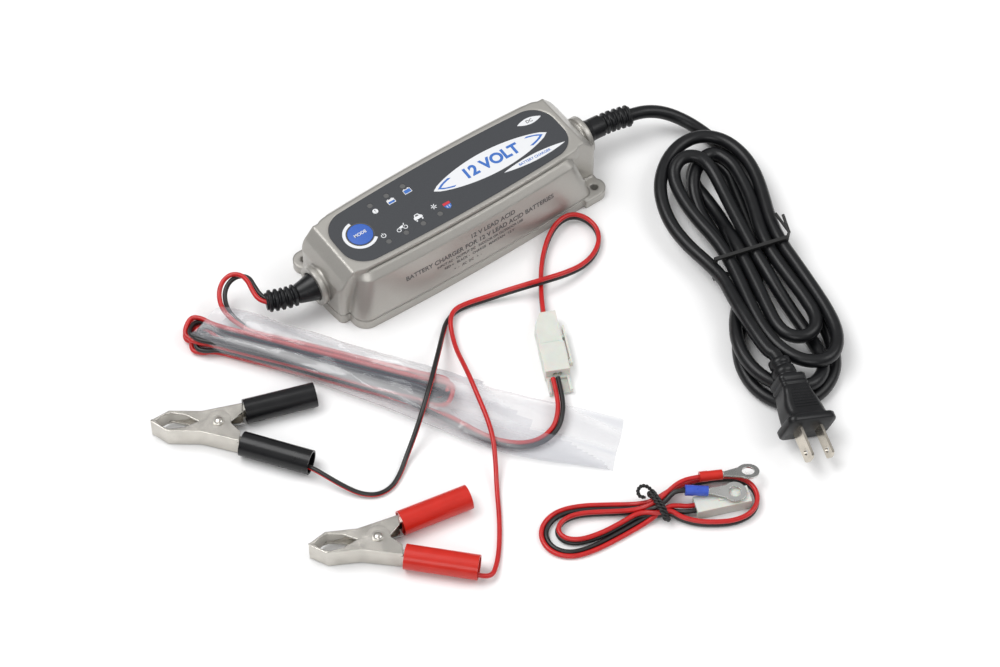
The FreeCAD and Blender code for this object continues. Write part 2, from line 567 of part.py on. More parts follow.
# ---- mated connectors ----------------------------------------------------------------------
def make_connectors():
    """In their own frame: x runs from the charger's side to the clamps' side."""
    at = ((*JOINT_AT, 0), JOINT_HEADING)
    shell = box(-14, 4, -6.4, 6.4, 0.4, 9.2).cut(box(-10, 5, -4.8, 4.8, 1.8, 7.8))
    tray = box(-23.5, -14, -6.0, 6.0, 0.4, 3.9).cut(box(-24, -15.2, -4.6, 4.6, 1.8, 4.0))
    catch = prism([(-6.4, -6.4), (-6.4, -7.6), (-2.6, -6.4)], 2.6, 7.0)
    holes = [cylinder(1.35, 8, (-16, y, 5.8), V(1, 0, 0)) for y in (-1.3, 1.3)]
    PARTS["charger_connector"] = placed(join([shell, tray, catch]).cut(holes), *at)
    nose = box(-8.4, 4, -4.6, 4.6, 2.0, 7.6)
    rear = box(4.2, 23.5, -6.2, 6.2, 0.4, 9.0)
    taper = prism([(23.6, 2.0), (23.6, 7.0), (14.0, 7.0)], 0, 10)
    post = box(7.6, 9.6, -7.7, -6.0, 3.2, 6.4)
    body = join([nose.fuse(box(3.9, 4.3, -4.6, 4.6, 2.0, 7.6)), rear, post]).cut(taper)
    holes = [cylinder(1.45, 34, (-9, y, 4.8), V(1, 0, 0)) for y in (-2.4, 2.4)]
    entry = box(19.5, 24, -2.0, 2.0, 1.8, 7.8)
    PARTS["clamp_connector"] = placed(body.cut(holes + [entry]), *at)
    hook = prism([(-9.0, -9.0), (-9.0, -6.7), (-6.9, -6.7), (-6.5, -7.9), (-6.0, -7.9), (-6.0, -9.0)],
                 3.0, 6.6)
    lever = box(-6.0, 15.0, -9.0, -7.9, 3.0, 6.6).fuse(hook)
    PARTS["connector_latch"] = placed(lever.removeSplitter(), *at)
    pins = [cylinder(1.0, 22, (-9.8, y, 4.8), V(1, 0, 0)) for y in (-2.4, 2.4)]
    PARTS["connector_pins"] = placed(group(pins), *at)


# ---- clamp lead ----------------------------------------------------------------------------
CLAMP_RUN = [(2.2, -81.5, 3.5), (7.2, -72.6, 2.6), (13.0, -63.6, 1.5), (20.4, -53.2, 1.4),
             (29.0, -43.8, 1.9), (38.0, -36.8, 3.4), (46.6, -33.2, 4.6), (54.8, -33.2, 4.2),
             (60.4, -38.0, 2.6), (62.0, -46.0, 1.5), (58.4, -54.0, 1.4), (50.4, -60.2, 1.6),
             (40.4, -63.2, 2.6), (29.6, -63.6, 5.0), (18.8, -62.2, 6.9), (8.4, -59.0, 6.6),
             (-2.0, -54.6, 4.4), (-12.4, -50.6, 2.2), (-22.8, -47.4, 1.5), (-30.6, -46.8, 1.5)]
BLACK_BRANCH = CLAMP_RUN + [(-38.4, -50.0, 2.0), (-46.2, -58.0, 5.8), (-54.0, -66.8, 11.6),
                            (-63.0, -76.0, 15.0), (-73.0, -85.6, 15.8), (-83.4, -94.4, 14.2),
                            (-93.6, -101.4, 8.0), (-103.0, -107.2, 3.0), (-111.0, -113.2, 1.6),
                            (-119.0, -117.4, 1.5), (-127.2, -117.0, 1.6), (-133.8, -112.0, 2.2),
                            (-138.4, -104.6, 3.6), (-142.4, -96.2, 5.2), (-146.0, -87.4, 6.2),
                            (-150.4, -79.2, 6.4)]
RED_BRANCH = shifted(CLAMP_RUN, 0, 0, TWIN) + [
    (-36.2, -50.8, 4.5), (-40.6, -58.6, 3.6), (-44.8, -68.6, 4.4), (-48.8, -80.0, 9.4),
    (-52.6, -91.8, 13.0), (-56.0, -103.6, 12.6), (-59.2, -115.6, 11.2), (-63.6, -127.4, 10.2),
    (-70.0, -138.4, 5.4), (-77.0, -149.0, 2.0), (-83.6, -160.0, 1.5), (-90.6, -170.4, 1.5),
    (-97.6, -179.4, 1.6), (-103.6, -185.6, 2.4), (-108.8, -189.6, 3.6), (-113.6, -188.2, 5.2),
    (-117.4, -183.2, 6.0), (-120.2, -179.2, 6.3)]


def make_clamp_lead():
    PARTS["clamp_lead_black"] = cord("clamp lead, black", BLACK_BRANCH, WIRE_D)
    PARTS["clamp_lead_red"] = cord("clamp lead, red", RED_BRANCH, WIRE_D)


# ---- battery clamps ------------------------------------------------------------------------
def jaw(z0, z1, gap):
    """One pressed steel half, on the +y side: two plates joined by an outer wall."""
    outer = [(34.3, gap + 0.5), (25.6, 6.6), (9.4, 6.6), (-11.0, 11.9)]
    inner = [(-11.4, 6.4), (-5.8, 0.6), (4.0, 0.2), (9.6, gap), (17.2, 4.2), (24.4, 5.2),
             (28.2, 4.2), (32.0, gap)]
    plate = outer + inner + [(34.3, gap)]
    plates = []
    for low in (z0, z1 - STEEL):
        leaf = prism(plate, low, low + STEEL).fuse(cylinder(6.3, STEEL, (0, 0, low)))
        plates.append(leaf)
    wall = prism([(34.3, gap + 0.5), (25.6, 6.6), (9.4, 6.6), (-11.0, 11.9), (-11.3, 10.9),
                  (9.3, 5.6), (25.2, 5.6), (32.9, gap + 0.6)], z0, z1)
    tooth = prism([(34.3, gap), (34.3, gap + 0.9), (32.4, gap + 1.6), (31.6, gap)], z0, z1)
    half = join(plates + [wall, tooth])
    tab_at = (SLEEVE_START[0], SLEEVE_START[1], (z0 + z1) / 2)
    tab = placed(box(-0.6, 28, -2.6, 1.6, -3.6, 3.6).cut(box(-2, 30, -1.6, 3.4, -2.6, 2.6)),
                 tab_at, 180 - HANDLE_ANGLE)
    return half.fuse(tab).removeSplitter().cut(cylinder(2.0, 20, (0, 0, -2)))


def sleeve():
    at = (*SLEEVE_START, SLEEVE_R)
    tube = ring(SLEEVE_R, SLEEVE_R - SLEEVE_WALL, SLEEVE_L, (1.0, 0, 0), V(1, 0, 0))
    grip = box(1.0, 27, -3.2, 2.2, -5.6, 5.6).common(cylinder(SLEEVE_R - 0.4, 27, (0, 0, 0), V(1, 0, 0)))
    grip = grip.cut(box(-1, 28.4, -2.7, 1.7, -3.7, 3.7))
    return placed(tube.fuse(grip).removeSplitter(), at, 180 - HANDLE_ANGLE)


def mirrored(shape):
    return shape.mirror(V(0, 0, 0), V(0, 1, 0))


def make_clamp(name, frame):
    x, y, heading = frame
    at = ((x, y, 0), heading)
    nest = STEEL + 0.2
    PARTS[name + "_clamp_lower_jaw"] = placed(jaw(CLAMP_BOTTOM, CLAMP_TOP, 0.12), *at)
    upper = mirrored(jaw(CLAMP_BOTTOM + nest, CLAMP_TOP - nest, 0.12))
    PARTS[name + "_clamp_upper_jaw"] = placed(upper, *at)
    PARTS[name + "_clamp_lower_sleeve"] = placed(sleeve(), *at)
    PARTS[name + "_clamp_upper_sleeve"] = placed(mirrored(sleeve()), *at)
    pin = cylinder(1.9, CLAMP_TOP - CLAMP_BOTTOM + 0.2, (0, 0, CLAMP_BOTTOM - 0.1))
    heads = [cylinder(2.9, 0.5, (0, 0, z)) for z in (CLAMP_BOTTOM - 0.55, CLAMP_TOP + 0.05)]
    PARTS[name + "_clamp_rivet"] = placed(join([pin] + heads), *at)
    middle = (CLAMP_BOTTOM + CLAMP_TOP) / 2
    coil = ring(3.7, 2.3, 4.8, (0, 0, middle - 2.4))
    legs = [rod(0.6, (-1.5, 2.6, middle + 1.7), (-12.8, 8.5, middle + 1.7)),
            rod(0.6, (-2.1, -2.1, middle - 1.7), (-12.3, -3.3, middle - 1.7))]
    PARTS[name + "_clamp_spring"] = placed(join([coil] + legs), *at)


# ---- eyelet lead ---------------------------------------------------------------------------
EYELET_LOOP = [(-15.6, -211.0, 2.7), (-13.4, -217.0, 1.6), (-8.0, -224.0, 1.4), (-0.6, -229.8, 1.4),
               (8.0, -234.6, 1.4), (17.6, -235.6, 1.4), (25.2, -230.6, 1.4), (27.8, -221.8, 1.4),
               (23.6, -213.6, 1.4), (14.8, -207.8, 1.4), (4.8, -203.8, 1.4), (-4.8, -201.6, 1.8),
               (-10.4, -201.6, 2.3), (-15.6, -202.0, 2.7)]
RED_TAIL = [(-15.8, -204.0, 7.2), (-10.2, -203.0, 7.9), (-3.8, -202.6, 9.0), (2.8, -204.2, 9.2),
            (10.0, -207.7, 8.8)]
BLACK_TAIL = [(-15.8, -206.8, 7.2), (-11.9, -206.0, 8.3), (-7.95, -206.27, 10.34), (-1.53, -210.88, 9.87)]
SPARE_RED = [(-15.8, -208.6, 5.3), (-10.9, -211.2, 5.1), (-6.38, -214.44, 3.9), (0.5, -217.16, 3.9)]
SPARE_BLACK = [(-15.8, -208.6, 2.7), (-11.9, -213.4, 2.7), (-7.2, -217.35, 3.9), (-0.6, -219.96, 3.9)]
RED_EYELET = (6.4, -206.0, 9.0, -26.0, -18.0)      # x, y, z, heading, roll
BLUE_EYELET = (-4.7, -208.6, 10.1, -35.7, 0.0)
EYELET_DROOP = 3.2


def make_eyelet_lead():
    coil = slab([(-78.5, -209.5), (-20, -213.0), (-20, -200.5), (-71, -177.0)], [0, 0, 0, 0],
                [14, 0, 0, 14], 0, 5.6)
    waist = box(-22, -15.8, -212.8, -200.6, 1.4, 8.6)
    PARTS["eyelet_hank"] = coil.fuse(waist).removeSplitter()
    loop_red = shifted(EYELET_LOOP, 0, 0, TWIN)
    red = [cord("eyelet lead, red loop", loop_red, WIRE_D), cord("eyelet lead, red tail", RED_TAIL, WIRE_D),
           cord("eyelet lead, red to connector", SPARE_RED, WIRE_D)]
    black = [cord("eyelet lead, black loop", EYELET_LOOP, WIRE_D),
             cord("eyelet lead, black tail", BLACK_TAIL, WIRE_D),
             cord("eyelet lead, black to connector", SPARE_BLACK, WIRE_D)]
    PARTS["eyelet_lead_red"] = group(red)
    PARTS["eyelet_lead_black"] = group(black)
    tie = box(-18.4, -16.2, -214.0, -199.4, 0.2, 9.8).cut(box(-19, -15, -213.1, -200.3, 1.1, 8.9))
    knot = rod(0.8, (-17.6, -199.6, 8.6), (-20.6, -196.6, 9.4))
    PARTS["eyelet_tie"] = tie.fuse(knot)

    at = ((*SPARE_AT, 0), SPARE_HEADING)
    shell = box(-14, 14, -4.7, 4.7, 0.2, 7.0)
    holes = [cylinder(1.4, 30, (-15, y, 3.9), V(1, 0, 0)) for y in (-1.5, 1.5)]
    rib = box(-8, 2, -1.0, 1.0, 6.8, 7.6)
    PARTS["eyelet_connector"] = placed(shell.fuse(rib).cut(holes), *at)
    sockets = [ring(1.3, 0.9, 14, (-12.5, y, 3.9), V(1, 0, 0)) for y in (-1.5, 1.5)]
    PARTS["eyelet_contacts"] = placed(group(sockets), *at)


def make_ring_terminal(name, frame):
    """In its own frame: the wire comes in at x = 0 and the eye is at x = 25."""
    x, y, z, heading, roll = frame
    at = ((x, y, z), heading, EYELET_DROOP, roll)
    collar = ring(2.75, 1.35, 4.2, (0, 0, 0), V(1, 0, 0))
    grip = ring(2.6, 1.95, 7.4, (4.2, 0, 0), V(1, 0, 0))
    PARTS[name + "_ring_sleeve"] = placed(collar.fuse(grip).removeSplitter(), *at)
    barrel = ring(1.85, 1.3, 7.4, (4.8, 0, 0), V(1, 0, 0))
    tongue = prism([(11.9, -1.5), (21, -3.8), (21, 3.8), (11.9, 1.5)], -0.4, 0.4)
    eye = cylinder(5.7, 0.8, (25.0, 0, -0.4))
    plate = join([barrel, tongue, eye]).cut(cylinder(3.2, 4, (25.0, 0, -2)))
    PARTS[name + "_ring_terminal"] = placed(plate, *at)


def main():
    make_housing()
    make_controls()
    make_electronics()
    make_strain_reliefs()
    make_mains_lead()
    make_plug()
    make_bagged_lead()
    make_connectors()
    make_clamp_lead()
    make_clamp("black", BLACK_CLAMP)
    make_clamp("red", RED_CLAMP)
    make_eyelet_lead()
    make_ring_terminal("red", RED_EYELET)
    make_ring_terminal("blue", BLUE_EYELET)
    os.makedirs("parts", exist_ok=True)
    for name, shape in PARTS.items():
        if not shape.isValid():
            print("not valid:", name)
        shape.exportStep(f"parts/{name}.step")
    print(len(PARTS), "nodes")


main()
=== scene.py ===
"""Looks for the battery charger kit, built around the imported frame.

Lengths in the lists below are in millimetres and are turned into metres where they are used.
"""
import json
import math
import random

import bmesh
import bpy
from mathutils import Matrix, Vector, noise


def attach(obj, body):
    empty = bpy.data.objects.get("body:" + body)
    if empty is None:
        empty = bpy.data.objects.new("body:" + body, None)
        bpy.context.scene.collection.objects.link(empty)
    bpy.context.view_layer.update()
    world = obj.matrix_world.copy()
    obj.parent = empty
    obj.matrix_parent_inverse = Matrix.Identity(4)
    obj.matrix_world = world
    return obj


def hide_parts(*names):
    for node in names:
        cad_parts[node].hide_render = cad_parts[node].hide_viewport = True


MM = 0.001
BODY = "charger"

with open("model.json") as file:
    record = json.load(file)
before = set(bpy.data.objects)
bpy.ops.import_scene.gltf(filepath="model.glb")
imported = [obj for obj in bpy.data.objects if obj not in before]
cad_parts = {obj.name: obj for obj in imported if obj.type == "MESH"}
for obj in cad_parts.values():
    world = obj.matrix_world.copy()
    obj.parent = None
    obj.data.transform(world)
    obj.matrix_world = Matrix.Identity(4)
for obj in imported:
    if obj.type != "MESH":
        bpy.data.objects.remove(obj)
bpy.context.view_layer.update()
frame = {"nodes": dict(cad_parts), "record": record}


# ---- placing things ----------------------------------------------------------
def scene_object(name, data):
    obj = bpy.data.objects.new(name, data)
    bpy.context.collection.objects.link(obj)
    return obj


def lie(at, heading, droop=0.0, roll=0.0):
    """The matrix of a local frame, x forward, in metres."""
    turn = Matrix.Rotation(math.radians(heading), 4, "Z")
    tip = Matrix.Rotation(math.radians(droop), 4, "Y")
    bank = Matrix.Rotation(math.radians(roll), 4, "X")
    return Matrix.Translation(Vector(at) * MM) @ turn @ tip @ bank


def from_local(points, at, heading):
    """Points given in a flat local frame, placed in the part's frame, in millimetres."""
    turn = math.radians(heading)
    c, s = math.cos(turn), math.sin(turn)
    return [(at[0] + x * c - y * s, at[1] + x * s + y * c, z) for x, y, z in points]


def shifted(points, dx, dy, dz):
    return [(x + dx, y + dy, z + dz) for x, y, z in points]


def beside(points, offset):
    """The same route moved sideways in plan: positive is to the left of its direction."""
    moved = []
    for i, (x, y, z) in enumerate(points):
        before = points[max(i - 1, 0)]
        after = points[min(i + 1, len(points) - 1)]
        run = Vector((after[0] - before[0], after[1] - before[1])).normalized()
        moved.append((x - run.y * offset, y + run.x * offset, z))
    return moved


HANK_AT, HANK_TURN = (111.5, -113.0), -15.0
PLUG_AT, PLUG_LIE = (78.6, -178.0, 17.6), (-106.8, 6.5, -19.0)
BAG_AT, BAG_HEADING = (-143.0, 12.0), -53.0
TOP_Z = 38.0             # the label's face

# ---- camera ------------------------------------------------------------------
CAMERA_AZIMUTH, CAMERA_ELEVATION = math.radians(35.79), math.radians(54.09)
CAMERA_TARGET = Vector((-0.01875, -0.07095, 0.0))
CAMERA_AWAY = 1.65867
camera_data = bpy.data.cameras.new("camera")
camera_data.lens = 115.2
camera_data.sensor_width = 36.0
camera = scene_object("camera", camera_data)
look = Vector((math.sin(CAMERA_AZIMUTH) * math.cos(CAMERA_ELEVATION),
               math.cos(CAMERA_AZIMUTH) * math.cos(CAMERA_ELEVATION), -math.sin(CAMERA_ELEVATION)))
camera.location = CAMERA_TARGET - look * CAMERA_AWAY
camera.rotation_euler = look.to_track_quat("-Z", "Y").to_euler()
bpy.context.scene.camera = camera
bpy.context.scene.view_settings.view_transform = "Standard"


# ---- materials ---------------------------------------------------------------
def set_inputs(node, values):
    for key, value in values.items():
        node.inputs[key].default_value = value


def set_ramp(node, *stops):
    """Give a colour ramp its two stops, each a position and a colour."""
    for element, (position, colour) in zip(node.color_ramp.elements, stops):
        element.position = position
        element.color = (*colour, 1)


def shade(name, colour, rough, metal=0.0, spread=0.12, scale=900.0, bump=0.0, bump_scale=None,
          stretch=(1, 1, 1), coat=0.0, rough_spread=0.08, specular=0.5, transmission=0.0,
          rounded=0.0, **extra):
    """A principled material whose colour, roughness and surface vary with noise."""
    mat = bpy.data.materials.new(name)
    mat.use_nodes = True
    nodes, links = mat.node_tree.nodes, mat.node_tree.links
    shader = nodes["Principled BSDF"]
    coords = nodes.new("ShaderNodeTexCoord")
    mapping = nodes.new("ShaderNodeMapping")
    mapping.inputs["Scale"].default_value = stretch
    links.new(coords.outputs["Object"], mapping.inputs["Vector"])
    cloud = nodes.new("ShaderNodeTexNoise")
    set_inputs(cloud, {"Scale": scale, "Detail": 4.0})
    links.new(mapping.outputs["Vector"], cloud.inputs["Vector"])
    ramp = nodes.new("ShaderNodeValToRGB")
    dark, light = ([min(1.0, c * factor) for c in colour] for factor in (1 - spread, 1 + spread))
    set_ramp(ramp, (0.3, dark), (0.7, light))
    links.new(cloud.outputs["Fac"], ramp.inputs["Fac"])
    links.new(ramp.outputs["Color"], shader.inputs["Base Color"])
    span = nodes.new("ShaderNodeMapRange")
    set_inputs(span, {"To Min": max(0.02, rough - rough_spread),
                      "To Max": min(1.0, rough + rough_spread)})
    links.new(cloud.outputs["Fac"], span.inputs["Value"])
    links.new(span.outputs["Result"], shader.inputs["Roughness"])
    set_inputs(shader, {"Metallic": metal, "Specular IOR Level": specular, "Coat Weight": coat,
                        "Coat Roughness": 0.12, "Transmission Weight": transmission})
    set_inputs(shader, {key.replace("_", " "): value for key, value in extra.items()})
    if bump:
        grain = nodes.new("ShaderNodeTexNoise")
        set_inputs(grain, {"Scale": bump_scale or scale, "Detail": 3.0})
        links.new(mapping.outputs["Vector"], grain.inputs["Vector"])
        relief = nodes.new("ShaderNodeBump")
        set_inputs(relief, {"Strength": bump, "Distance": 0.0002})
        links.new(grain.outputs["Fac"], relief.inputs["Height"])
        links.new(relief.outputs["Normal"], shader.inputs["Normal"])
        if rounded:
            worn_edge = nodes.new("ShaderNodeBevel")
            worn_edge.samples = 6
            worn_edge.inputs["Radius"].default_value = rounded
            links.new(worn_edge.outputs["Normal"], relief.inputs["Normal"])
    return mat


LOOKS = {
    "housing_silver": shade("silver_lacquer", (0.44, 0.425, 0.395), 0.36, metal=0.62, spread=0.05,
                            scale=2600, bump=0.10, bump_scale=3200, coat=0.15, rounded=0.0019),
    "seal_rubber": shade("seal", (0.03, 0.03, 0.03), 0.7, bump=0.2),
    "screw_steel": shade("zinc", (0.6, 0.6, 0.58), 0.35, metal=1.0, scale=400),
    "panel_charcoal": shade("label_charcoal", (0.040, 0.043, 0.049), 0.5, spread=0.16, scale=5200,
                            bump=0.16, bump_scale=6000),
    "button_blue": shade("button", (0.035, 0.115, 0.46), 0.4, spread=0.06, scale=1200, coat=0.25),
    "board_green": shade("solder_mask", (0.02, 0.13, 0.05), 0.4, scale=500),
    "pin_tin": shade("tin", (0.72, 0.7, 0.66), 0.3, metal=1.0, scale=600),
    "black_plastic": shade("moulded_black", (0.018, 0.018, 0.019), 0.5, bump=0.1),
    "led_grey": shade("diffuser", (0.10, 0.10, 0.10), 0.35, spread=0.04, coat=0.3),
    "ferrite_dark": shade("ferrite", (0.05, 0.05, 0.052), 0.65, bump=0.4, bump_scale=1500),
    "copper_winding": shade("winding", (0.55, 0.2, 0.07), 0.3, metal=0.9, stretch=(1, 1, 12)),
    "capacitor_black": shade("can_sleeve", (0.02, 0.02, 0.03), 0.3),
    "sink_aluminium": shade("extrusion", (0.6, 0.6, 0.61), 0.35, metal=1.0, stretch=(1, 20, 20)),
    "fuse_glass": shade("fuse_tube", (0.9, 0.9, 0.9), 0.08, transmission=0.8),
    "black_pvc": shade("soft_pvc", (0.0055, 0.0058, 0.0068), 0.33, spread=0.2, scale=260, bump=0.10,
                       bump_scale=1400, rough_spread=0.1, specular=0.35),
    "tie_black": shade("coated_wire", (0.012, 0.012, 0.012), 0.45, bump=0.2, bump_scale=1800),
    "blade_nickel": shade("blade_nickel", (0.62, 0.575, 0.50), 0.2, metal=1.0, spread=0.08,
                          scale=300, bump=0.05, bump_scale=2400),
    "wire_red": shade("wire_red", (0.50, 0.006, 0.006), 0.36, spread=0.10, scale=240, bump=0.05,
                      bump_scale=1500, coat=0.12),
    "wire_black": shade("wire_black", (0.009, 0.008, 0.008), 0.38, spread=0.15, scale=240,
                        bump=0.05, bump_scale=1500, coat=0.1),
    "connector_white": shade("milky_nylon", (0.64, 0.65, 0.60), 0.34, spread=0.03, scale=160,
                             bump=0.04, bump_scale=700, Subsurface_Weight=0.35,
                             Subsurface_Scale=0.004),
    "clamp_nickel": shade("pressed_nickel", (0.60, 0.575, 0.53), 0.2, metal=1.0, spread=0.10,
                          scale=120, bump=0.10, bump_scale=1600, rounded=0.0005),
    "spring_steel": shade("spring_wire", (0.42, 0.42, 0.42), 0.3, metal=1.0),
    "sleeve_black": shade("sleeve_black", (0.004, 0.004, 0.005), 0.3, spread=0.15, scale=200,
                          bump=0.05, bump_scale=900, coat=0.06, specular=0.36),
    "sleeve_red": shade("sleeve_red", (0.56, 0.016, 0.007), 0.3, spread=0.05, scale=160,
                        bump=0.02, bump_scale=400, coat=0.1, specular=0.4, rough_spread=0.03),
    "sleeve_blue": shade("sleeve_blue", (0.03, 0.08, 0.48), 0.3, spread=0.08, scale=300,
                         bump=0.06, bump_scale=900, coat=0.15),
    "terminal_tin": shade("tinned_copper", (0.58, 0.58, 0.565), 0.28, metal=1.0, spread=0.04,
                          scale=160, bump=0.03, bump_scale=500, rounded=0.0003),
    "bag_film": shade("film", (0.93, 0.94, 0.96), 0.16, spread=0.02, scale=60),
}
INK_WHITE = shade("ink_white", (0.74, 0.75, 0.77), 0.4, spread=0.02, scale=3000)
INK_BLUE = shade("ink_blue", (0.045, 0.15, 0.48), 0.4, spread=0.04, scale=3000)
INK_RED = shade("ink_red", (0.55, 0.03, 0.05), 0.4, spread=0.04, scale=3000)
INK_GREY = shade("ink_grey", (0.10, 0.10, 0.10), 0.5, spread=0.05, scale=3000)

# Every CAD node gets its finish by the record's slot.
for part in frame["record"]["subparts"]:
    node = frame["nodes"][part["node"]]
    node.data.materials.clear()
    node.data.materials.append(LOOKS[part["material_slot"]])


# ---- building pieces ---------------------------------------------------------
def settle(obj, finish, body=BODY, replaced=()):
    """Give a piece its finish, its body and the CAD nodes that it stands for."""
    if finish is not None:
        obj.data.materials.clear()
        obj.data.materials.append(finish)
    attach(obj, body)
    if replaced:
        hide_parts(*replaced)
    return obj


def mesh_piece(name, verts, faces, smooth=True):
    """A mesh object of points in metres."""
    mesh = bpy.data.meshes.new(name)
    mesh.from_pydata([tuple(v) for v in verts], [], faces)
    mesh.update()
    tidy = bmesh.new()
    tidy.from_mesh(mesh)
    bmesh.ops.recalc_face_normals(tidy, faces=tidy.faces)
    tidy.to_mesh(mesh)
    tidy.free()
    for face in mesh.polygons:
        face.use_smooth = smooth
    return scene_object(name, mesh)


def lofted(name, rings):
    """A smooth skin over rings of equally many points, in metres, capped at its ends."""
    count = len(rings[0])
    verts = [p for ring in rings for p in ring]
    faces = []
    for i in range(len(rings) - 1):
        for j in range(count):
            k = (j + 1) % count
            faces.append((i * count + j, i * count + k, (i + 1) * count + k, (i + 1) * count + j))
    faces.append(tuple(range(count))[::-1])
    faces.append(tuple((len(rings) - 1) * count + j for j in range(count)))
    return mesh_piece(name, verts, faces)


def cord_curve(name, points, diameter, finish):
    """A round cord on one smooth spline whose control points are given in millimetres."""
    curve = bpy.data.curves.new(name, "CURVE")
    curve.dimensions = "3D"
    spline = curve.splines.new("NURBS")
    spline.points.add(len(points) - 1)
    for point, (x, y, z) in zip(spline.points, points):
        point.co = (x * MM, y * MM, z * MM, 1)
    spline.order_u = 3
    spline.use_endpoint_u = True
    curve.resolution_u = 14
    curve.bevel_depth = diameter / 2 * MM
    curve.bevel_resolution = 6
    curve.use_fill_caps = True
    curve.materials.append(finish)
    return scene_object(name, curve)


def length_of(obj):
    """The length of a cord's line, in metres."""
    bare = obj.data.copy()
    bare.bevel_depth = 0.0
    holder = bpy.data.objects.new("bare", bare)
    mesh = bpy.data.meshes.new_from_object(holder)
    points = [v.co for v in mesh.vertices]
    length = sum((b - a).length for a, b in zip(points, points[1:]))
    bpy.data.meshes.remove(mesh)
    bpy.data.objects.remove(holder)
    bpy.data.curves.remove(bare)
    return length


# The two cords' diameters, and the step between the twin lead's two wires.
MAINS_D, WIRE_D, TWIN = 7.1, 2.5, 2.6

# ---- mains cord: out of the boot, four turns of the hank, over to the plug ---
MAINS_OUT = [(112.5, -3.5, 17.2), (115.5, -4.2, 17.2), (124.6, -6.6, 16.6), (133.4, -10.8, 13.6),
             (140.8, -17.6, 9.4), (146.0, -27.0, 6.0), (148.6, -38.0, 4.3), (149.4, -49.5, 3.8),
             (147.4, -61.0, 3.8)]
# In the hank's own frame: x across it, y along it.
HANK_TURNS = [
    # in from the housing: down the right side, round the lower end
    (19.8, 43, 3.8), (19.0, 26, 3.9), (18.4, 8, 4.8), (18.8, -10, 4.8), (20.2, -28, 4.2),
    (21.4, -46, 3.7), (20.4, -63, 3.7), (15.2, -78, 3.7), (4.5, -88, 3.7), (-9, -91.5, 3.7),
    (-21, -87, 3.7), (-28.4, -75, 3.7), (-29.8, -60, 3.7),
    # first turn: up across the waist and round the upper end
    (-25.6, -45.5, 3.7), (-17, -33, 3.7), (-7.5, -21, 3.9), (1.8, -9, 4.8), (7.6, 5, 5.2),
    (10.6, 19, 4.6), (12.0, 34, 4.1), (13.4, 48, 3.9), (15.2, 61, 3.7), (9.8, 72, 3.7),
    # down through the middle to the small lower loop
    (-1.2, 72, 3.7), (-6.0, 61, 3.7), (-3.4, 48, 3.8), (-2.0, 36, 4.3), (-2.1, 26, 6.2),
    (-3.0, 16, 10.2), (-3.8, 5, 12.4), (-3.9, -8, 12.7), (-4.4, -22, 12.8), (-5.0, -36, 12.8),
    (-5.2, -48, 12.8), (-1.8, -56, 12.8), (5.8, -59.5, 12.7),
    # second turn: up the right side to the upper end
    (13.4, -56, 12.6), (16.6, -48, 12.4), (15.8, -36, 12.3), (14.2, -24, 12.2), (12.4, -12, 12.4),
    (11.2, 1, 12.5), (12.0, 13, 12.4), (14.4, 25, 11.8), (16.4, 37, 11.3), (17.0, 49, 11.0),
    (16.6, 61, 10.9), (11.0, 71.5, 10.6),
    # down across the waist and round the lower end
    (1.6, 69.5, 10.7), (-7.8, 58, 9.8), (-11.0, 44, 6.4), (-10.0, 29, 4.6), (-7.0, 14, 4.9),
    (-5.8, 0, 5.2), (-9.6, -12, 5.6), (-15.4, -23, 6.6), (-22.8, -35, 9.4), (-27.6, -48, 10.8),
    (-28.0, -62, 10.8), (-23.6, -75, 10.8), (-14, -84.5, 10.8),
    # third turn: up through the middle to the small upper loop
    (-2, -87, 10.4), (7.5, -80, 8.4), (11.4, -69, 5.2), (10.8, -55, 4.6), (9.0, -42, 5.4),
    (6.4, -29, 8.6), (4.6, -16, 11.8), (3.5, -3, 12.6), (3.4, 9, 12.6), (3.5, 20, 12.6),
    (3.6, 32, 12.6), (3.9, 46, 12.8), (3.4, 59, 14.6), (0.2, 66.8, 16.4),
    # down the middle on top of the others
    (-7.2, 70.2, 16.6), (-14.6, 66.8, 15.2), (-18.2, 59, 13.4), (-18.2, 45, 12.2), (-16.0, 30, 12.2),
    (-12.4, 15, 12.5), (-11.0, 0, 12.7), (-11.6, -15, 12.8), (-12.6, -32, 13.0), (-12.6, -48, 13.2),
    (-9.4, -62.5, 13.4), (-2.2, -73, 13.6), (8.0, -77.5, 13.8),
    # fourth turn: up the right side and round the upper end
    (17.2, -73, 13.0), (22.6, -62, 12.4), (23.6, -48, 12.2), (22.4, -32, 12.2), (20.6, -15, 12.4),
    (18.6, 2, 12.5), (19.6, 18, 12.4), (22.6, 33, 12.4), (24.8, 48, 12.6), (24.0, 62, 12.8),
    (18.6, 75, 13.2), (8.0, 82.5, 13.4),
    # down the left side and out towards the plug
    (-4.5, 81.5, 13.2), (-16.0, 74, 12.8), (-25.0, 62, 12.2), (-29.4, 48, 11.4), (-30.0, 33, 10.6),
    (-27.0, 18, 10.4), (-22.0, 4, 10.8), (-18.6, -9, 11.8), (-19.2, -22, 13.4), (-19.4, -36, 15.4),
    (-18.6, -53, 16.6), (-17.0, -64, 17.0)]
mains_points = (MAINS_OUT + from_local(HANK_TURNS, HANK_AT, HANK_TURN)
                + [(79.9, -173.4, 17.5), PLUG_AT])
mains = cord_curve("mains_lead", mains_points, MAINS_D, LOOKS["black_pvc"])
settle(mains, None, replaced=("mains_cord", "mains_hank"))

